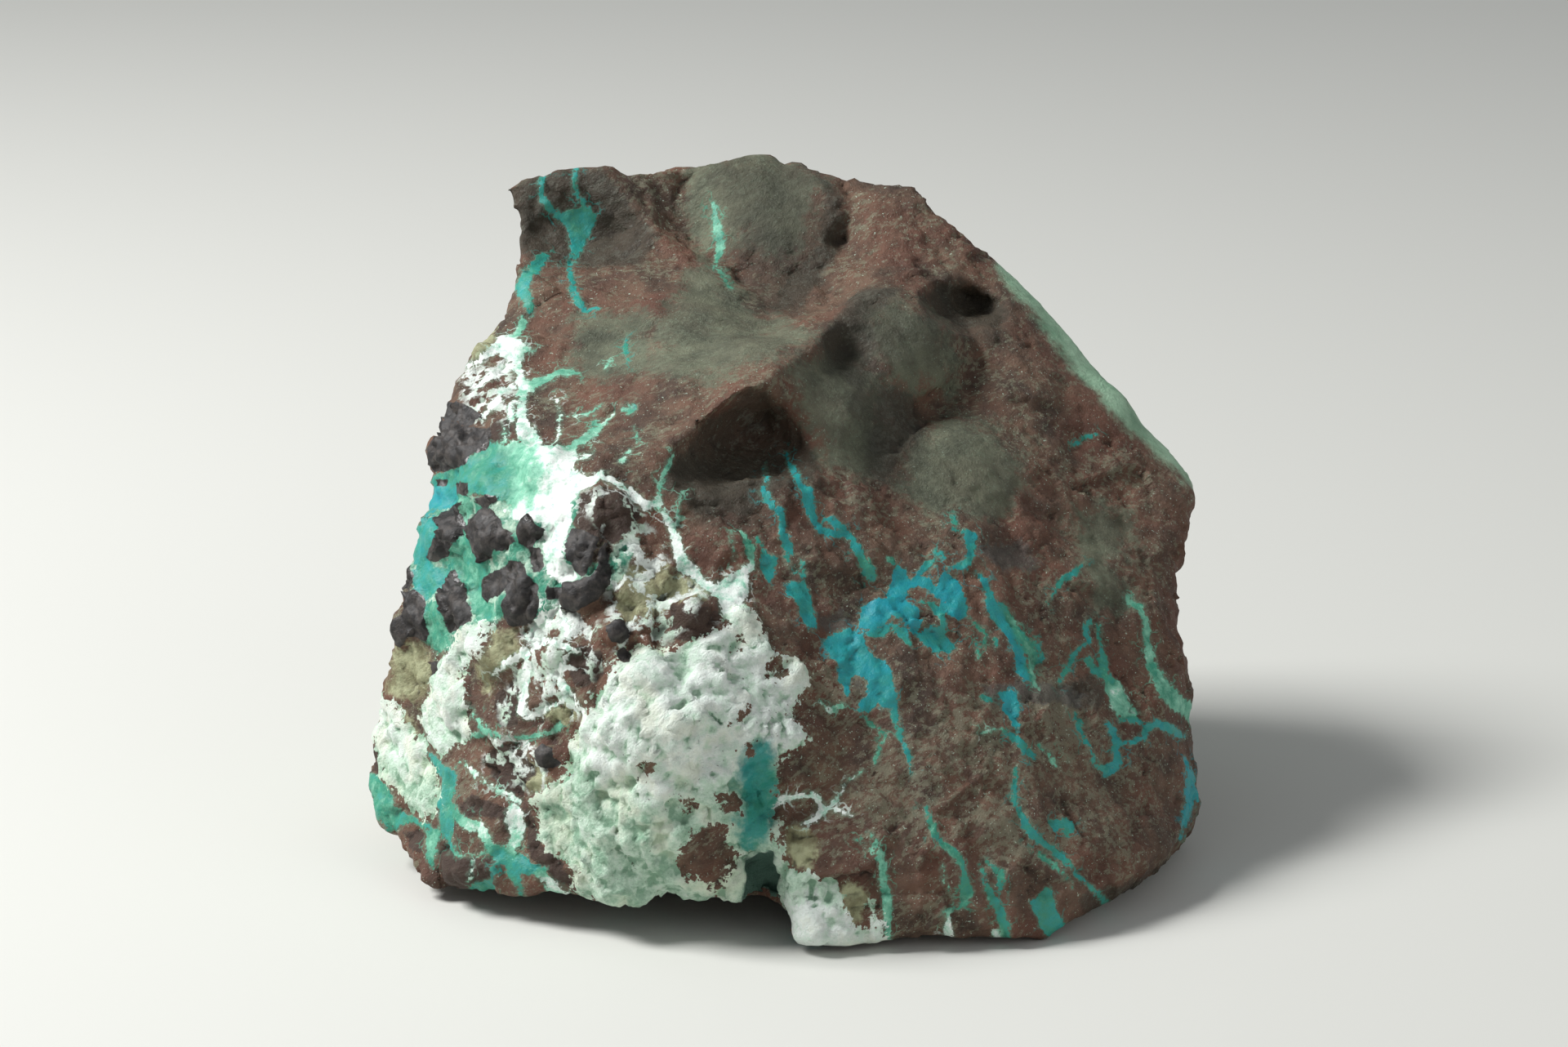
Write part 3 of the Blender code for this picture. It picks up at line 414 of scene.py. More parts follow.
        [836, 250, 846, 204, 880, 182, 940, 179, 990, 192, 1004, 225, 1000, 262, 978, 300, 950, 318, 916,
         296, 882, 300, 856, 318],
        [960, 450, 1040, 430, 1080, 480, 1090, 560, 1060, 590, 1010, 570, 980, 500],
        [700, 390, 790, 380, 800, 450, 740, 470, 690, 440],
    ],
    # Places in which thin white threads net the left side.
    "net": [
        [640, 736, 700, 740, 745, 770, 740, 810, 700, 890, 620, 900, 600, 860, 636, 800],
        [560, 450, 620, 440, 632, 480, 620, 520, 570, 520],
        [700, 600, 770, 600, 820, 690, 870, 730, 820, 790, 750, 800, 735, 720, 750, 670],
        [600, 900, 650, 905, 690, 960, 640, 970, 590, 940],
    ],
    # Dark grey stains between the veins.
    "smudge": [
        [1000, 752, 1030, 747, 1053, 760, 1046, 773, 1004, 771],
        [1204, 840, 1250, 830, 1290, 838, 1332, 850, 1318, 864, 1262, 864, 1210, 866],
        [1037, 832, 1056, 828, 1060, 842, 1046, 852],
        [1180, 670, 1250, 662, 1280, 690, 1230, 700],
    ],
}


# Numbers on whole arrays.


def smooth_step(values, start, end):
    """0 below start, 1 above end, and 3t^2 - 2t^3 between."""
    t = np.clip((values - start) / (end - start), 0.0, 1.0)
    return t * t * (3.0 - 2.0 * t)


def scatter(cells, seed):
    """A repeatable random number from 0 to 1 for each whole-number cell: its three numbers and the seed are
    multiplied by large primes, mixed by exclusive or and shifts, and the low 24 bits are kept."""
    c = cells.astype(np.int64)
    mixed = (c[..., 0] * 73856093) ^ (c[..., 1] * 19349663) ^ (c[..., 2] * 83492791) ^ (seed * 2654435761)
    mixed = mixed & 0xFFFFFFFF
    mixed = ((mixed ^ (mixed >> 16)) * 73244475) & 0xFFFFFFFF
    mixed = ((mixed ^ (mixed >> 16)) * 73244475) & 0xFFFFFFFF
    return ((mixed ^ (mixed >> 16)) & 0xFFFFFF) / float(0xFFFFFF)


def value_noise(points, size, seed):
    """Smooth noise from -1 to 1: random values at the corners of a cubic lattice with cells of the given
    size, blended between the eight corners by t^3 (6t^2 - 15t + 10) along each axis."""
    p = points / size
    cell = np.floor(p)
    t = p - cell
    t = t * t * t * (t * (t * 6.0 - 15.0) + 10.0)
    total = np.zeros(len(points))
    for corner in itertools.product((0, 1), repeat=3):
        weight = np.prod(np.where(corner, t, 1.0 - t), axis=1)
        total += weight * scatter(cell + corner, seed)
    return 2.0 * total - 1.0


def layered_noise(points, size, seed, layers=3):
    """Several sheets of smooth noise, each half as wide and half as strong as the one before."""
    total = np.zeros(len(points))
    for layer in range(layers):
        total += value_noise(points, size / 2.0**layer, seed + layer) / 2.0**layer
    return total


def cell_facets(points, size, seed):
    """Broken facets: space is shared out among one random point per cube of the given size, and each share
    is a plane through its point with a random slope. Returns the planes' heights and, as the second array,
    how far inside its share each point lies, from 0 on a border."""
    p = points / size
    cell = np.floor(p)
    nearest = np.full(len(points), 9.0)
    second = np.full(len(points), 9.0)
    height = np.zeros(len(points))
    for neighbour in itertools.product((-1, 0, 1), repeat=3):
        c = cell + neighbour
        middle = np.stack([scatter(c, seed + k) for k in range(3)], axis=1)
        slope = 2.0 * np.stack([scatter(c, seed + 3 + k) for k in range(3)], axis=1) - 1.0
        off = p - (c + middle)
        distance = np.linalg.norm(off, axis=1)
        closer = distance < nearest
        second = np.where(closer, nearest, np.minimum(second, distance))
        plane = (off * slope).sum(axis=1) + 0.5 * scatter(c, seed + 6) - 0.25
        height = np.where(closer, plane, height)
        nearest = np.where(closer, distance, nearest)
    return height, second - nearest


# Places in the front view.


def view_axes():
    """The view's right, up and away directions."""
    sin, cos = math.sin(VIEW_ELEVATION), math.cos(VIEW_ELEVATION)
    return np.array((1.0, 0.0, 0.0)), np.array((0.0, sin, cos)), np.array((0.0, cos, -sin))


def view_places(points):
    """Where each point, in mm, shows in the front view, in mm at the aim: its offset from the aim along the
    view's right and up directions, over one plus its depth as a share of the viewing distance."""
    right, up, away = view_axes()
    off = points - np.array(VIEW_AIM)
    scale = 1.0 + off @ away / VIEW_DISTANCE
    return np.stack((off @ right / scale, off @ up / scale), axis=1)


def in_mm(places):
    """View points as mm from the view's middle, with up counted upwards."""
    return (places - VIEW_MIDDLE) * (1.0, -1.0) / POINTS_PER_MM


def inside_route(places, route):
    """How far each place lies inside a line that widens and narrows, negative outside: half the width, which
    changes evenly from point to point, less the distance to the stretch between the two points, and of all
    stretches the greatest. The route is an array of rows of x, y and half the width."""
    line = in_mm(route[:, :2])
    halves = route[:, 2] / POINTS_PER_MM
    most = np.full(len(places), -99.0)
    for start, end, half, next_half in zip(line[:-1], line[1:], halves[:-1], halves[1:]):
        along = end - start
        t = np.clip(((places - start) @ along) / (along @ along), 0.0, 1.0)
        gap = np.linalg.norm(places - start - t[:, None] * along, axis=1)
        most = np.maximum(most, half + t * (next_half - half) - gap)
    return most


def distance_inside(places, outline):
    """How far each place lies inside a closed outline, negative outside: the distance to the outline, with
    its sign from how many of the outline's stretches lie to the right of the place."""
    ring = np.array(outline, float).reshape(-1, 2)
    ring = np.vstack((ring, ring[:1]))
    distance = -inside_route(places, np.column_stack((ring, np.zeros(len(ring)))))
    ring = in_mm(ring)
    crossings = np.zeros(len(places), int)
    for (x0, y0), (x1, y1) in zip(ring[:-1], ring[1:]):
        if y0 != y1:
            spans = (y0 > places[:, 1]) != (y1 > places[:, 1])
            meets = x0 + (places[:, 1] - y0) / (y1 - y0) * (x1 - x0)
            crossings += spans & (places[:, 0] < meets)
    return np.where(crossings % 2 == 1, distance, -distance)


def draw_markings(points):
    """The signed distances, in mm and positive inside, of all markings at each point. A tint is the mean of
    the nearby veins' tints, each weighed by e^(4 s) for its signed distance s."""
    places = view_places(points)
    wander = np.stack([layered_noise(points, 1.4, seed=401 + k, layers=3) for k in range(2)], axis=1)
    places = places + WANDER_MM * wander
    vein = np.full(len(points), -9.0)
    tint_sum = np.zeros(len(points))
    tint_weight = np.full(len(points), 1e-12)
    strokes = [(tint, inside_route(places, np.array(route, float).reshape(-1, 3))) for tint, route in VEINS]
    strokes += [(tint, distance_inside(places, outline) + PATCH_SWELL) for tint, outline in PATCHES]
    for tint, inside in strokes:
        vein = np.maximum(vein, inside)
        weight = np.exp(4.0 * np.clip(inside, -6.0, 1.5))
        tint_sum += weight * tint
        tint_weight += weight
    marks = {"vein": vein, "tint": tint_sum / tint_weight}
    for name, outlines in ZONES.items():
        marks[name] = np.max([distance_inside(places, outline) for outline in outlines], axis=0)
    marks["crust"] = np.minimum(marks["crust"], -marks.pop("bare"))
    marks["band"] = inside_route(places, np.array(RIM_BAND, float).reshape(-1, 3))
    return marks


def seen_share(points, normals):
    """1 where the surface faces the front view, falling to 0 where it turns away from it."""
    away = view_axes()[2]
    return smooth_step(-(normals @ away), -0.12, 0.12)


# Meshes.


def read_mesh(mesh):
    """The mesh's points in mm and its points' normals, as arrays."""
    points = np.empty(len(mesh.vertices) * 3, np.float32)
    normals = np.empty(len(mesh.vertices) * 3, np.float32)
    mesh.vertices.foreach_get("co", points)
    mesh.vertex_normals.foreach_get("vector", normals)
    return points.reshape(-1, 3).astype(float) / MM, normals.reshape(-1, 3).astype(float)


def write_points(mesh, points):
    """Puts points in mm back into the mesh."""
    mesh.vertices.foreach_set("co", (points * MM).astype(np.float32).ravel())
    mesh.update()


def add_values(mesh, name, values):
    """Stores one number for each point of the mesh under a name."""
    attribute = mesh.attributes.new(name, "FLOAT", "POINT")
    attribute.data.foreach_set("value", values.astype(np.float32))


def mesh_pairs(mesh):
    """The point numbers at the two ends of each edge."""
    pairs = np.empty(len(mesh.edges) * 2, np.int32)
    mesh.edges.foreach_get("vertices", pairs)
    return pairs.reshape(-1, 2)


def neighbour_mean(values, pairs):
    """For each point the mean of its neighbours' values."""
    count = np.bincount(pairs.ravel(), minlength=len(values))
    total = np.zeros_like(values)
    for column in range(values.shape[1]):
        total[:, column] = np.bincount(pairs[:, 0], values[pairs[:, 1], column], len(values))
        total[:, column] += np.bincount(pairs[:, 1], values[pairs[:, 0], column], len(values))
    return total / count[:, None]


def smoothed(values, pairs, rounds, share=0.5):
    """Moves each point's values the given share of the way to its neighbours' mean, in several rounds."""
    for _ in range(rounds):
        values = values + share * (neighbour_mean(values, pairs) - values)
    return values


def with_modifier(mesh, kind, settings):
    """A new mesh: the given one as a single modifier leaves it."""
    helper = bpy.data.objects.new("helper", mesh)
    bpy.context.scene.collection.objects.link(helper)
    modifier = helper.modifiers.new("helper", kind)
    for name, value in settings.items():
        setattr(modifier, name, value)
    graph = bpy.context.evaluated_depsgraph_get()
    made = bpy.data.meshes.new_from_object(helper.evaluated_get(graph))
    bpy.data.objects.remove(helper)
    return made


def rounded_solid(crease_degrees, subdivisions):
    """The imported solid's mesh, merged and rounded by subdivision, with creases where faces meet sharply."""
    rough = bpy.data.meshes.new("rough")
    shell = bmesh.new()
    shell.from_mesh(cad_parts[NODE].data)
    bmesh.ops.remove_doubles(shell, verts=shell.verts, dist=1e-6)
    crease = shell.edges.layers.float.new("crease_edge")
    limit = math.radians(crease_degrees)
    for edge in shell.edges:
        edge[crease] = float(edge.calc_face_angle(0.0) > limit)
    shell.to_mesh(rough)
    shell.free()
    return with_modifier(rough, "SUBSURF", {"levels": subdivisions, "render_levels": subdivisions})


def split_in_four(mesh, wanted):
    """The mesh with the edges of all wanted points halved, which splits the faces between them in four."""
    shell = bmesh.new()
    shell.from_mesh(mesh)
    shell.edges.ensure_lookup_table()
    halved = [shell.edges[number] for number in np.flatnonzero(wanted[mesh_pairs(mesh)].any(axis=1))]
    bmesh.ops.subdivide_edges(shell, edges=halved, cuts=1, use_grid_fill=True)
    shell.to_mesh(mesh)
    shell.free()
    mesh.update()


def fine_surface(crease_degrees, subdivisions, cell_mm, easing_rounds):
    """An even net of small faces over the rounded solid, twice as fine where the front view sees it. The
    net is laid back onto the solid after the split, so that sharp ridges stay sharp."""
    rounded = rounded_solid(crease_degrees, subdivisions)
    net = {"mode": "VOXEL", "voxel_size": cell_mm * MM, "adaptivity": 0.0}
    mesh = with_modifier(rounded, "REMESH", net)
    points, normals = read_mesh(mesh)
    split_in_four(mesh, seen_share(points, smoothed(normals, mesh_pairs(mesh), rounds=3)) > 0.5)
    target = bpy.data.objects.new("rounded", rounded)
    bpy.context.scene.collection.objects.link(target)
    mesh = with_modifier(mesh, "SHRINKWRAP", {"wrap_method": "NEAREST_SURFACEPOINT", "target": target})
    bpy.data.objects.remove(target)
    points, _ = read_mesh(mesh)
    write_points(mesh, smoothed(points, mesh_pairs(mesh), easing_rounds))
    return mesh


def grain_cells(points):
    """The broken grains of the left side: facets of irregular cells whose borders wander a little."""
    wander = np.stack([layered_noise(points, 1.6, seed=301 + k, layers=2) for k in range(3)], axis=1)
    return cell_facets(points + 0.35 * wander, 1.9, seed=71)


def rock_relief(points, marks):
    """How far each point is pushed along its normal, in mm. Broken facets of three sizes and smooth noise
    cover the rock, more weakly on films and high up. Crust lies on it in billows |n| of noise n, and the
    dark lumps stand out with flat faces."""
    big, _ = cell_facets(points, 4.2, seed=11)
    middle, _ = cell_facets(points * (1.0, 1.0, 0.8), 1.9, seed=23)
    chips, _ = cell_facets(points, 0.9, seed=29)
    small = layered_noise(points, 0.7, seed=37, layers=2)
    calm = 1.0 - 0.5 * smooth_step(marks["film"], -0.6, 0.6) - 0.25 * smooth_step(points[:, 2], 21.0, 28.0)
    rock = calm * (0.30 * big + 0.20 * middle + 0.11 * chips + 0.05 * small)
    rock += 0.10 * layered_noise(points, 2.6, seed=41)
    faces, share = grain_cells(points)
    groove = 1.0 - smooth_step(share, 0.0, 0.25)
    gritty = smooth_step(np.maximum(np.maximum(marks["net"], marks["tan"]), marks["brown"]), -0.4, 0.4)
    rock += gritty * (0.24 * faces - 0.16 * groove + 0.05)
    billows = np.abs(layered_noise(points, 4.2, seed=61, layers=4))
    crumbs = np.abs(layered_noise(points, 1.3, seed=67, layers=4))
    crusty = 0.62 * billows + 0.15 * crumbs + 0.15 * chips + 0.14 * middle + 0.05 * small - 0.08
    push = rock + smooth_step(marks["crust"], -0.15, 0.6) * (crusty - 0.4 * rock)
    lumpy = 0.08 + 0.34 * faces + 0.30 * chips + 0.20 * middle
    push += smooth_step(marks["lump"], -0.16, 0.02) * (lumpy - push)
    push -= 0.7 * smooth_step(marks["sage"], -0.1, 0.5)
    push = push * (1.0 - 0.85 * smooth_step(marks["band"], -1.6, 0.0))
    return push * smooth_step(points[:, 2], 0.25, 1.2)


# Materials.


def paint(red, green, blue):
    """A colour given as 0 to 255 display values, as the linear colour that shaders use: c / 12.92 up to
    0.04045, and ((c + 0.055) / 1.055)^2.4 above it."""
    linear = []
    for level in (red, green, blue):
        c = level / 255.0
        linear.append(c / 12.92 if c <= 0.04045 else ((c + 0.055) / 1.055) ** 2.4)
    return (*linear, 1.0)


class Wire:
    """A node socket that can be used in Python expressions, each of which adds its Math nodes."""

    def __init__(self, tree, colours, socket=None):
        self.tree = tree
        self.colours = colours
        self.socket = socket

    def known(self, value):
        """The colour of that name in the settings, or the value itself if it isn't a name."""
        return tuple(getattr(self.colours, value)) if isinstance(value, str) else value

    def node(self, kind, settings=None, inputs=None, output=0):
        """Adds a node of the given type, makes its settings, then fills its sockets with values or links,
        and returns one of its outputs."""
        made = self.tree.nodes.new(kind)
        for name, value in (settings or {}).items():
            setattr(made, name, value)
        for name, value in (inputs or {}).items():
            if isinstance(value, Wire):
                self.tree.links.new(value.socket, made.inputs[name])
            else:
                made.inputs[name].default_value = self.known(value)
        return Wire(self.tree, self.colours, made.outputs[output])

    def sum_of(self, operation, first, second):
        return self.node("ShaderNodeMath", {"operation": operation}, {0: first, 1: second})

    def __add__(self, other):
        return self.sum_of("ADD", self, other)

    __radd__ = __add__

    def __sub__(self, other):
        return self.sum_of("SUBTRACT", self, other)

    def __rsub__(self, other):
        return self.sum_of("SUBTRACT", other, self)

    def __mul__(self, other):
        return self.sum_of("MULTIPLY", self, other)

    __rmul__ = __mul__

    def step(self, start, end):
        """0 below start, 1 above end, and smooth between."""
        return self.node(
            "ShaderNodeMapRange",
            {"interpolation_type": "SMOOTHSTEP"},
            {"Value": self, "From Min": start, "From Max": end},
        )

    def mix(self, low, high):
        """The colour low where this value is 0 and high where it is 1."""
        return self.node("ShaderNodeMix", {"data_type": "RGBA"}, {0: self, 6: low, 7: high}, output=2)

    def ramp(self, stops):
        """The colours of the stops, pairs of a place and a colour's name, blended by this value."""
        made = self.node("ShaderNodeValToRGB", {}, {"Fac": self})
        elements = made.socket.node.color_ramp.elements
        while len(elements) < len(stops):
            elements.new(0.5)
        for element, (position, name) in zip(elements, stops):
            element.position = position
            element.color = self.known(name)
        return made

    def attribute(self, name):
        """A number stored for each point of the mesh."""
        return self.node("ShaderNodeAttribute", {"attribute_name": name}, output="Fac")

    def noise(self, size_mm, detail=2.0, rough=0.5, stretch=(1.0, 1.0, 1.0), turn=0.0):
        """Noise from 0 to 1 about a half, with lumps of the given size in mm, which the stretch makes longer
        along an axis and the turn, in radians, leans over in the front view."""
        coordinates = self.node("ShaderNodeTexCoord", output="Object")
        turned = self.node(
            "ShaderNodeVectorRotate", {"rotation_type": "Y_AXIS"}, {"Vector": coordinates, "Angle": turn}
        )
        scale = [s / (size_mm * MM) for s in stretch]
        place = self.node("ShaderNodeVectorMath", {"operation": "MULTIPLY"}, {0: turned, 1: scale})
        return self.node(
            "ShaderNodeTexNoise",
            {"noise_dimensions": "3D"},
            {"Vector": place, "Scale": 1.0, "Detail": detail, "Roughness": rough},
        )

    def threads(self, size_mm, wander):
        """The distance, as a share of the cell size, from the borders of irregular cells, whose borders
        wander by the given share of a cell."""
        coordinates = self.node("ShaderNodeTexCoord", output="Object")
        scale = {0: coordinates, 3: 1 / (size_mm * MM)}
        place = self.node("ShaderNodeVectorMath", {"operation": "SCALE"}, scale)
        swirl = self.node(
            "ShaderNodeTexNoise",
            {"noise_dimensions": "3D"},
            {"Vector": place, "Scale": 2.2, "Detail": 3.0},
            output="Color",
        )
        bent = self.node(
            "ShaderNodeVectorMath", {"operation": "MULTIPLY_ADD"}, {0: swirl, 1: [wander] * 3, 2: place}
        )
        return self.node(
            "ShaderNodeTexVoronoi",
            {"feature": "DISTANCE_TO_EDGE"},
            {"Vector": bent, "Scale": 1.0},
            output="Distance",
        )


def stone_material(colours):
    """Layers the minerals over the rock, each with a ragged edge: the stored distance plus noise, cut at
    zero. Rock, films, painted shade over dark stone in the recesses, tan stone, chestnut lumps, white
    threads, turquoise, powdery crust with painted shade in its hollows and dark lumps lie over one another in
    that order, with painted shade in the cracks last."""
    material = bpy.data.materials.new("chrysocolla_rock")
    material.use_nodes = True
    tree = material.node_tree
    shader = tree.nodes["Principled BSDF"]
    wire = Wire(tree, colours)
    noises = {
        "fine": wire.noise(0.3, 3.0, 0.6) - 0.5,
        "coarse": wire.noise(1.0, 4.0, 0.6) - 0.5,
        "broad": wire.noise(2.4, 5.0, 0.68) - 0.5,
    }
    fine, coarse, broad = noises.values()

    def share(name, start, end, **parts):
        """How much of a mineral shows: its stored distance plus parts of the noises, in mm, cut smoothly."""
        depth = wire.attribute(name)
        for noise, part in parts.items():
            depth = depth + noises[noise] * part
        return depth.step(start, end)

    # Red-brown rock with grey-green flecks, and pale specks of painted highlight for glints.
    tone = wire.noise(3.2, 6.0, 0.7)
    rock = tone.step(0.34, 0.64).mix("rock_dark", "rock")
    warm = wire.noise(5.5, 3.0, 0.6).step(0.42, 0.66)
    rock = (warm * 0.6).mix(rock, "rock_red")
    fleck = wire.noise(0.36, 4.0, 0.74, (0.42, 1.0, 1.0), 0.6)
    crowd = (wire.noise(4.5, 3.0, 0.55) - 0.5) * 0.45 + share("speckled", -2.0, 1.5) * 0.08
    flecks = (fleck + crowd).step(0.53, 0.62) * 0.6
    # Painted highlights: sparse pale specks that stand for glints of light on the grains.
    glints = wire.noise(0.14, 1.0, 0.5).step(0.69, 0.75)
    colour = (glints * 0.6).mix(flecks.mix(rock, "fleck"), "crust_shade")

    # Films, painted shade over dark stone in the recesses, painted soft shade under the long ridge, stains,
    # tan stone, chestnut lumps, the rim and pale glassy stone, one over the other: how much of each shows,
    # how strongly, and its colour.
    layers = [
        (share("film", -0.8, 0.7, broad=5.0, coarse=2.6, fine=1.6), 0.66,
         tone.step(0.3, 0.7).mix("film_dark", "film")),
        # Painted shade, over partly dark stone, in the recesses and on the shadowed faces.
        (share("dark", -0.2, 0.3, coarse=0.7, fine=0.5), 0.66, flecks.mix("olive_dark", "smudge")),
        # Painted soft shade under the long ridge and around the recesses.
        (share("shaded", -0.7, 1.0, broad=2.0, fine=1.5), 0.5, "olive_dark"),
        (share("smudge", -0.2, 0.3, coarse=1.4, fine=1.0), 0.7, "smudge"),
        (share("tan", -0.15, 0.35, coarse=1.2, fine=0.8), 1.0,
         wire.noise(1.2, 4.0, 0.6).step(0.38, 0.62).mix("tan_dark", "tan")),
        (share("brown", -0.05, 0.12, coarse=0.6, fine=0.4), 0.9,
         fleck.step(0.4, 0.7).mix("chestnut", "rock_dark")),
        (share("band", -0.5, 0.3, coarse=1.2, fine=0.5), 0.9, tone.step(0.3, 0.7).mix("rim_dark", "rim")),
        (share("pale", -0.1, 0.2, coarse=1.2, fine=0.5), 1.0,
         wire.noise(1.4, 4.0, 0.65).step(0.40, 0.66).mix("teal", "crust_shade")),
    ]
    for amount, strength, shade in layers:
        colour = (amount * strength).mix(colour, shade)

    # White threads.
    weave = wire.threads(2.4, 0.9) + fine * 0.25 + coarse * 0.30 + broad * 0.45
    net = (1.0 - weave.step(0.045, 0.13)) * share("net", -0.3, 0.5, coarse=2.0)
    net_colour = wire.noise(1.6, 3.0, 0.6).step(0.35, 0.6).mix("crust_shade", "crust")
    colour = (net * 0.92).mix(colour, net_colour)

    # Veins and patches, with hair-thin threads around them.
    vein_depth = wire.attribute("vein") + coarse * 0.34 + fine * 0.62 + 0.01
    holes = wire.noise(0.4, 3.0, 0.7).step(0.69, 0.73)
    vein = vein_depth.step(-0.03, 0.05) * (1.0 - holes * 0.7)
    tint = wire.attribute("tint") + (wire.noise(0.9, 5.0, 0.72) - 0.5) * 0.95
    vein_colour = tint.ramp(
        [(0.0, "sky"), (0.3, "turquoise"), (0.55, "teal"), (0.8, "mint"), (1.0, "crust")]
    )
    near = share("vein", -0.9, -0.1) * (1.0 - share("crust", -0.3, 0.1))
    hair = (1.0 - (wire.threads(1.5, 0.8) + fine * 0.06).step(0.012, 0.045)) * near
    hair = hair * wire.noise(1.6, 2.0, 0.5).step(0.46, 0.56) * 0.72
    colour = hair.mix(colour, vein_colour)
    colour = (vein_depth.step(-0.20, -0.02) * 0.16).mix(colour, "mint")
    colour = vein.mix(colour, vein_colour)

    # Powdery crust, with painted shade in its hollows: darker and greener where the surface is hollow.
    hollow = wire.attribute("hollow")
    crust = share("crust", -0.04, 0.07, coarse=2.2, fine=1.4)
    core = share("core", -1.2, 0.9, coarse=3.5)
    crust_tone = core * 0.45 + wire.noise(1.3, 6.0, 0.72).step(0.32, 0.64) * 0.55
    # Painted shade: the crust's tone drops towards its deep green where the surface lies hollow.
    crust_tone = crust_tone - hollow.step(0.0, 0.12) * 0.55
    crust_colour = crust_tone.ramp([(0.0, "crust_deep"), (0.34, "crust_shade"), (0.85, "crust")])
    specks = wire.noise(0.24, 2.0, 0.6).step(0.68, 0.72) * wire.noise(3.0, 2.0, 0.5).step(0.5, 0.62)
    crust_colour = (specks * 0.7).mix(crust_colour, "chestnut")
    creamy = wire.noise(2.6, 4.0, 0.6).step(0.46, 0.66)
    crust_colour = (creamy * 0.5).mix(crust_colour, "cream")
    # Partly painted shade: the grey-green stone under the crust's foot, darkened where it lies under the
    # overhang.
    crust_colour = share("sage", -0.15, 0.2, coarse=0.8).mix(crust_colour, "sage")
    streak_colour = tone.step(0.36, 0.62).mix("teal_deep", "turquoise")
    streak = share("streak", -0.6, 0.4, coarse=1.8, fine=0.3)
    crust_colour = (streak * 0.95).mix(crust_colour, streak_colour)
    colour = crust.mix(colour, crust_colour)

    # Dark lumps, and painted shade in the bottoms of cracks and hollows.
    lump = (wire.attribute("lump") + coarse * 0.22 + fine * 0.22 + 0.05).step(-0.03, 0.03)
    lump_tone = wire.noise(0.6, 4.0, 0.7).step(0.42, 0.66)
    colour = lump.mix(colour, lump_tone.mix("lump", "lump_light"))
    # Painted shade: darkest brown where the surface lies hollow, outside the crust.
    colour = (hollow.step(0.04, 0.2) * 0.6 * (1.0 - crust)).mix(colour, "crevice")

    rough = 0.62 - flecks * 0.15 + crust * 0.3 - vein * (1.0 - crust) * 0.20 - lump * 0.06
    grain = (wire.noise(0.2, 2.0, 0.6) - 0.5) * 0.05
    grain = grain + (wire.noise(0.6, 6.0, 0.74, (0.7, 1.0, 1.0), 0.75) - 0.5) * 0.30
    powder = (wire.noise(0.35, 5.0, 0.72) - 0.5) * 0.17
    height = grain * (1.0 - vein * 0.6) * (1.0 - lump * 0.7) + powder * crust + vein * 0.02
    bump = wire.node("ShaderNodeBump", {}, {"Strength": 1.0, "Distance": MM, "Height": height})
    tree.links.new(colour.socket, shader.inputs["Base Color"])
    tree.links.new(rough.socket, shader.inputs["Roughness"])
    tree.links.new(bump.socket, shader.inputs["Normal"])
    return material


# Settings, operators and the panel.


def colour_setting(name, words, shade):
    """A colour the user can change, given as display values."""
    return bpy.props.FloatVectorProperty(
        name=name, description=words, size=4, subtype="COLOR", min=0.0, max=1.0, default=paint(*shade)
    )


class ChrysocollaSurfaceSettings(bpy.types.PropertyGroup):
    """How finely the stone's surface is made."""

    crease_degrees: bpy.props.FloatProperty(
        name="Sharp edges over",
        description="Two faces of the packed solid that meet at more than this many degrees stay sharp",
        default=24.0,
    )
    subdivisions: bpy.props.IntProperty(
        name="Rounding",
        description="How many times the packed solid is subdivided before the even net is laid over it",
        default=2,
    )
    cell_mm: bpy.props.FloatProperty(
        name="Net width", description="Width in mm of one face of the even net", default=0.5
    )
    easing_rounds: bpy.props.IntProperty(
        name="Easing", description="Rounds of smoothing of the even net", default=1
    )


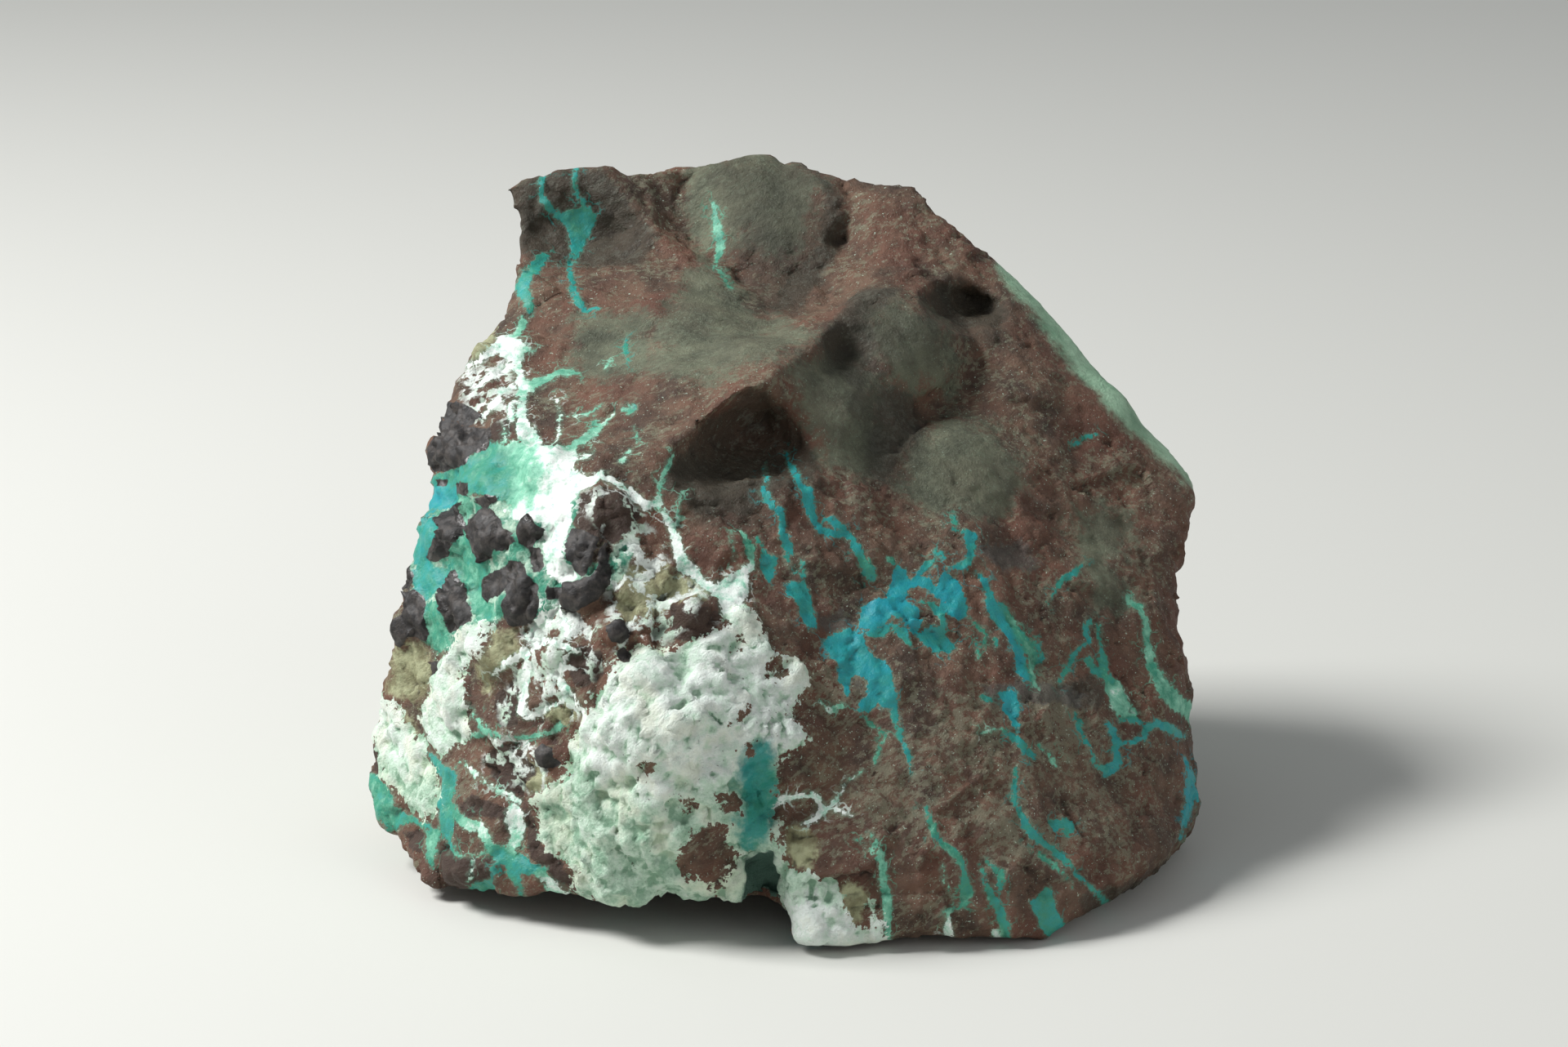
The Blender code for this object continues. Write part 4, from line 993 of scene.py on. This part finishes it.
class ChrysocollaColourSettings(bpy.types.PropertyGroup):
    """The colours of the stone's minerals."""

    rock: colour_setting("Rock", "Light red-brown of the rock", (114, 87, 68))
    rock_dark: colour_setting("Dark rock", "Dark red-brown of the rock", (68, 52, 40))
    rock_red: colour_setting("Red rock", "Reddest parts of the rock", (112, 68, 51))
    fleck: colour_setting("Flecks", "Grey-green flecks in the rock", (132, 132, 108))
    film: colour_setting("Film", "Grey-green film on the rock", (114, 130, 106))
    film_dark: colour_setting("Dark film", "Darker parts of the film", (78, 88, 70))
    # Painted shade: the colour of the shaded recesses and of the soft shade under the long ridge, partly dark
    # olive stone.
    olive_dark: colour_setting("Dark olive", "Dark stone in the recesses", (50, 48, 34))
    smudge: colour_setting("Smudges", "Dark grey stains", (84, 82, 76))
    tan: colour_setting("Tan", "Tan stone", (176, 178, 140))
    tan_dark: colour_setting("Dark tan", "Olive parts of the tan stone", (130, 126, 92))
    chestnut: colour_setting("Chestnut", "Dark brown lumps", (62, 44, 35))
    sky: colour_setting("Sky blue", "Bluest veins", (18, 150, 164))
    turquoise: colour_setting("Turquoise", "Turquoise veins", (38, 152, 146))
    teal: colour_setting("Teal", "Teal-green glassy parts", (58, 146, 118))
    teal_deep: colour_setting("Deep teal", "Glassy streak in the crust", (44, 150, 124))
    # Partly painted shade: grey-green stone under the crust's foot, darkened for the shadow under the
    # overhang.
    sage: colour_setting("Sage", "Grey-green stone under the crust", (92, 124, 110))
    mint: colour_setting("Mint", "Mint-green parts", (136, 204, 174))
    crust: colour_setting("Crust", "White of the powdery crust", (244, 252, 245))
    crust_shade: colour_setting("Crust shade", "Pale green of the powdery crust", (204, 230, 208))
    cream: colour_setting("Cream", "Yellowish parts of the crust", (232, 238, 208))
    rim: colour_setting("Rim", "Pale green of the right-hand rim", (182, 220, 188))
    rim_dark: colour_setting("Dark rim", "Darker green of the right-hand rim", (128, 174, 140))
    # Deep green of the crust, partly its own tone and partly painted shade in its hollows.
    crust_deep: colour_setting("Crust hollows", "Green in the crust's hollows", (148, 186, 158))
    lump: colour_setting("Lumps", "Dark angular lumps", (29, 26, 25))
    lump_light: colour_setting("Light lumps", "Lighter faces of the dark lumps", (66, 60, 56))
    # Painted shade: the colour laid into cracks and hollows.
    crevice: colour_setting("Crevices", "Darkest brown in cracks", (38, 30, 22))


class ChrysocollaStageSettings(bpy.types.PropertyGroup):
    """The floor and the light."""

    floor: colour_setting("Floor", "Plain pale floor", (214, 214, 208))
    floor_width: bpy.props.FloatProperty(
        name="Floor width", description="Side of the floor", unit="LENGTH", default=2.4
    )
    key_watts: bpy.props.FloatProperty(
        name="Key light", description="Power of the soft light from the upper left", unit="POWER", default=2.6
    )
    fill_watts: bpy.props.FloatProperty(
        name="Fill light", description="Power of the soft light from the right", unit="POWER", default=0.36
    )
    sky_strength: bpy.props.FloatProperty(
        name="Room light", description="Strength of the even light from all around", default=0.27
    )


class ChrysocollaRock(bpy.types.Operator):
    """Lays the fine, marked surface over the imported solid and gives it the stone's material"""

    bl_idname = "chrysocolla.rock"
    bl_label = "Rock surface"

    def execute(self, context):
        surface = context.scene.chrysocolla_surface
        mesh = fine_surface(
            surface.crease_degrees, surface.subdivisions, surface.cell_mm, surface.easing_rounds
        )
        points, normals = read_mesh(mesh)
        pairs = mesh_pairs(mesh)
        seen = seen_share(points, smoothed(normals, pairs, rounds=12))
        marks = hidden_markings(points, draw_markings(points), seen)
        points = points + normals * rock_relief(points, marks)[:, None]
        write_points(mesh, points)
        _, normals = read_mesh(mesh)
        # How far each point lies below the mean of its neighbourhood; the material paints shade in cracks and
        # crust hollows by it.
        hollow = ((smoothed(points, pairs, rounds=8) - points) * normals).sum(axis=1)
        for name, values in marks.items():
            add_values(mesh, name, values)
        add_values(mesh, "hollow", hollow)
        mesh.polygons.foreach_set("use_smooth", np.ones(len(mesh.polygons), bool))
        mesh.calc_loop_triangles()
        print(f"rock_surface: {len(mesh.loop_triangles)} triangles")
        mesh.materials.clear()
        mesh.materials.append(stone_material(context.scene.chrysocolla_colours))
        piece = bpy.data.objects.new("rock_surface", mesh)
        context.scene.collection.objects.link(piece)
        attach(piece, "root")
        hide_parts(NODE)
        return {"FINISHED"}


# The signed distance, in mm, of what is nowhere on the hidden side.
HIDDEN_NOWHERE = -3.0

# The noise that stands for outlines on the hidden side: size in mm, seed, gain, and how much is taken off.
HIDDEN_NOISE = {
    "lump": (3.2, 211, 3.0, 2.9),
    "brown": (6.0, 231, 3.0, 2.0),
    "tan": (8.0, 171, 3.0, 0.4),
    "film": (12.0, 251, 3.0, 0.8),
    "dark": (7.0, 311, 3.0, 2.0),
    "pale": (6.0, 331, 3.0, 2.4),
    "speckled": (12.0, 351, 3.0, 2.0),
    "shaded": (10.0, 371, 3.0, 1.0),
    "smudge": (5.0, 291, 3.0, 2.2),
    "net": (6.0, 271, 3.0, 0.0),
}


def hidden_markings(points, marks, seen):
    """The same minerals where the front view doesn't reach. Veins of two widths follow the lines where
    upright smooth noise is zero, in stretches picked out by wider noise. Crust and tan stone fill the
    heights of wide noise, white threads net the rock around the crust, and crust lies thick along the
    right-hand rim of the back."""
    line = np.abs(layered_noise(points * (1.0, 1.0, 0.4), 13.0, seed=103, layers=3)) * 6.0
    thin = np.abs(layered_noise(points * (1.0, 1.0, 0.5), 7.0, seed=113, layers=3)) * 4.0
    stretch = layered_noise(points, 14.0, seed=131, layers=2)
    rim = smooth_step(points[:, 0], 9.0, 19.0) * smooth_step(points[:, 2], 10.0, 22.0)
    crust = 3.5 * layered_noise(points, 10.0, seed=151, layers=3) - 2.6 + 3.2 * rim
    back = {name: np.full(len(points), HIDDEN_NOWHERE) for name in marks}
    for name, (size, seed, gain, drop) in HIDDEN_NOISE.items():
        back[name] = gain * layered_noise(points, size, seed, 2) - drop
    wide_vein = np.minimum(0.36 - line, 1.5 * stretch + 0.3)
    back["vein"] = np.maximum(wide_vein, np.minimum(0.16 - thin, 0.2 - 1.5 * stretch))
    back["tint"] = 0.5 + 0.5 * value_noise(points, 12.0, seed=191)
    back["crust"] = crust
    back["core"] = crust - 0.8
    back["tan"] = np.minimum(crust + 1.8, back["tan"])
    back["net"] = np.minimum(crust + 1.3, back["net"])
    back["band"] = marks["band"]
    return {name: values * seen + back[name] * (1.0 - seen) for name, values in marks.items()}


def add_area_light(name, place, aim, width, watts):
    """A square area light at a place, turned towards the aim, in metres."""
    light = bpy.data.lights.new(name, "AREA")
    light.shape = "SQUARE"
    light.size = width
    light.energy = watts
    lamp = bpy.data.objects.new(name, light)
    lamp.location = place
    lamp.rotation_euler = (Vector(aim) - Vector(place)).to_track_quat("-Z", "Y").to_euler()
    bpy.context.scene.collection.objects.link(lamp)


class ChrysocollaStage(bpy.types.Operator):
    """Adds the plain pale floor, the soft studio light and the camera at the front view's angle"""

    bl_idname = "chrysocolla.stage"
    bl_label = "Floor, light and camera"

    def execute(self, context):
        stage = context.scene.chrysocolla_stage
        half = stage.floor_width / 2.0
        mesh = bpy.data.meshes.new("floor")
        corners = [(-half, -half, 0.0), (half, -half, 0.0), (half, half, 0.0), (-half, half, 0.0)]
        mesh.from_pydata(corners, [], [(0, 1, 2, 3)])
        floor = bpy.data.objects.new("floor", mesh)
        context.scene.collection.objects.link(floor)
        material = bpy.data.materials.new("pale_floor")
        material.use_nodes = True
        shader = material.node_tree.nodes["Principled BSDF"]
        shader.inputs["Base Color"].default_value = tuple(stage.floor)
        shader.inputs["Roughness"].default_value = 0.85
        mesh.materials.append(material)

        middle = Vector(VIEW_AIM) * MM
        add_area_light("key_light", KEY_PLACE, middle, KEY_WIDTH, stage.key_watts)
        add_area_light("fill_light", FILL_PLACE, middle, FILL_WIDTH, stage.fill_watts)
        world = bpy.data.worlds.new("room")
        world.use_nodes = True
        background = world.node_tree.nodes["Background"]
        background.inputs["Color"].default_value = ROOM_COLOUR
        background.inputs["Strength"].default_value = stage.sky_strength
        context.scene.world = world

        lens = bpy.data.cameras.new("front_view")
        lens.lens = LENS
        lens.sensor_width = SENSOR
        lens.clip_start = 0.01
        lens.clip_end = 10.0
        camera = bpy.data.objects.new("front_view", lens)
        away = Vector(view_axes()[2])
        camera.location = middle - away * VIEW_DISTANCE * MM
        camera.rotation_euler = away.to_track_quat("-Z", "Y").to_euler()
        context.scene.collection.objects.link(camera)
        context.scene.camera = camera
        context.scene.view_settings.view_transform = "Standard"
        return {"FINISHED"}


class ChrysocollaPanel(bpy.types.Panel):
    """Shows the settings of the stone's surface, colours and stage, and the buttons that build them"""

    bl_idname = "VIEW3D_PT_chrysocolla"
    bl_label = "Raw chrysocolla"
    bl_space_type = "VIEW_3D"
    bl_region_type = "UI"
    bl_category = "Chrysocolla"

    def draw(self, context):
        for name in SETTINGS:
            group = getattr(context.scene, name)
            box = self.layout.box()
            for key in group.__annotations__:
                box.prop(group, key)
        for operator in OPERATORS:
            self.layout.operator(operator.bl_idname)


SETTINGS = {
    "chrysocolla_surface": ChrysocollaSurfaceSettings,
    "chrysocolla_colours": ChrysocollaColourSettings,
    "chrysocolla_stage": ChrysocollaStageSettings,
}
OPERATORS = (ChrysocollaRock, ChrysocollaStage)


def register():
    for name, group in SETTINGS.items():
        bpy.utils.register_class(group)
        setattr(bpy.types.Scene, name, bpy.props.PointerProperty(type=group))
    for operator in OPERATORS:
        bpy.utils.register_class(operator)
    bpy.utils.register_class(ChrysocollaPanel)


def unregister():
    bpy.utils.unregister_class(ChrysocollaPanel)
    for operator in OPERATORS:
        bpy.utils.unregister_class(operator)
    for name, group in SETTINGS.items():
        delattr(bpy.types.Scene, name)
        bpy.utils.unregister_class(group)


def main():
    register()
    bpy.ops.chrysocolla.rock()
    bpy.ops.chrysocolla.stage()


if __name__ == "__main__":
    main()
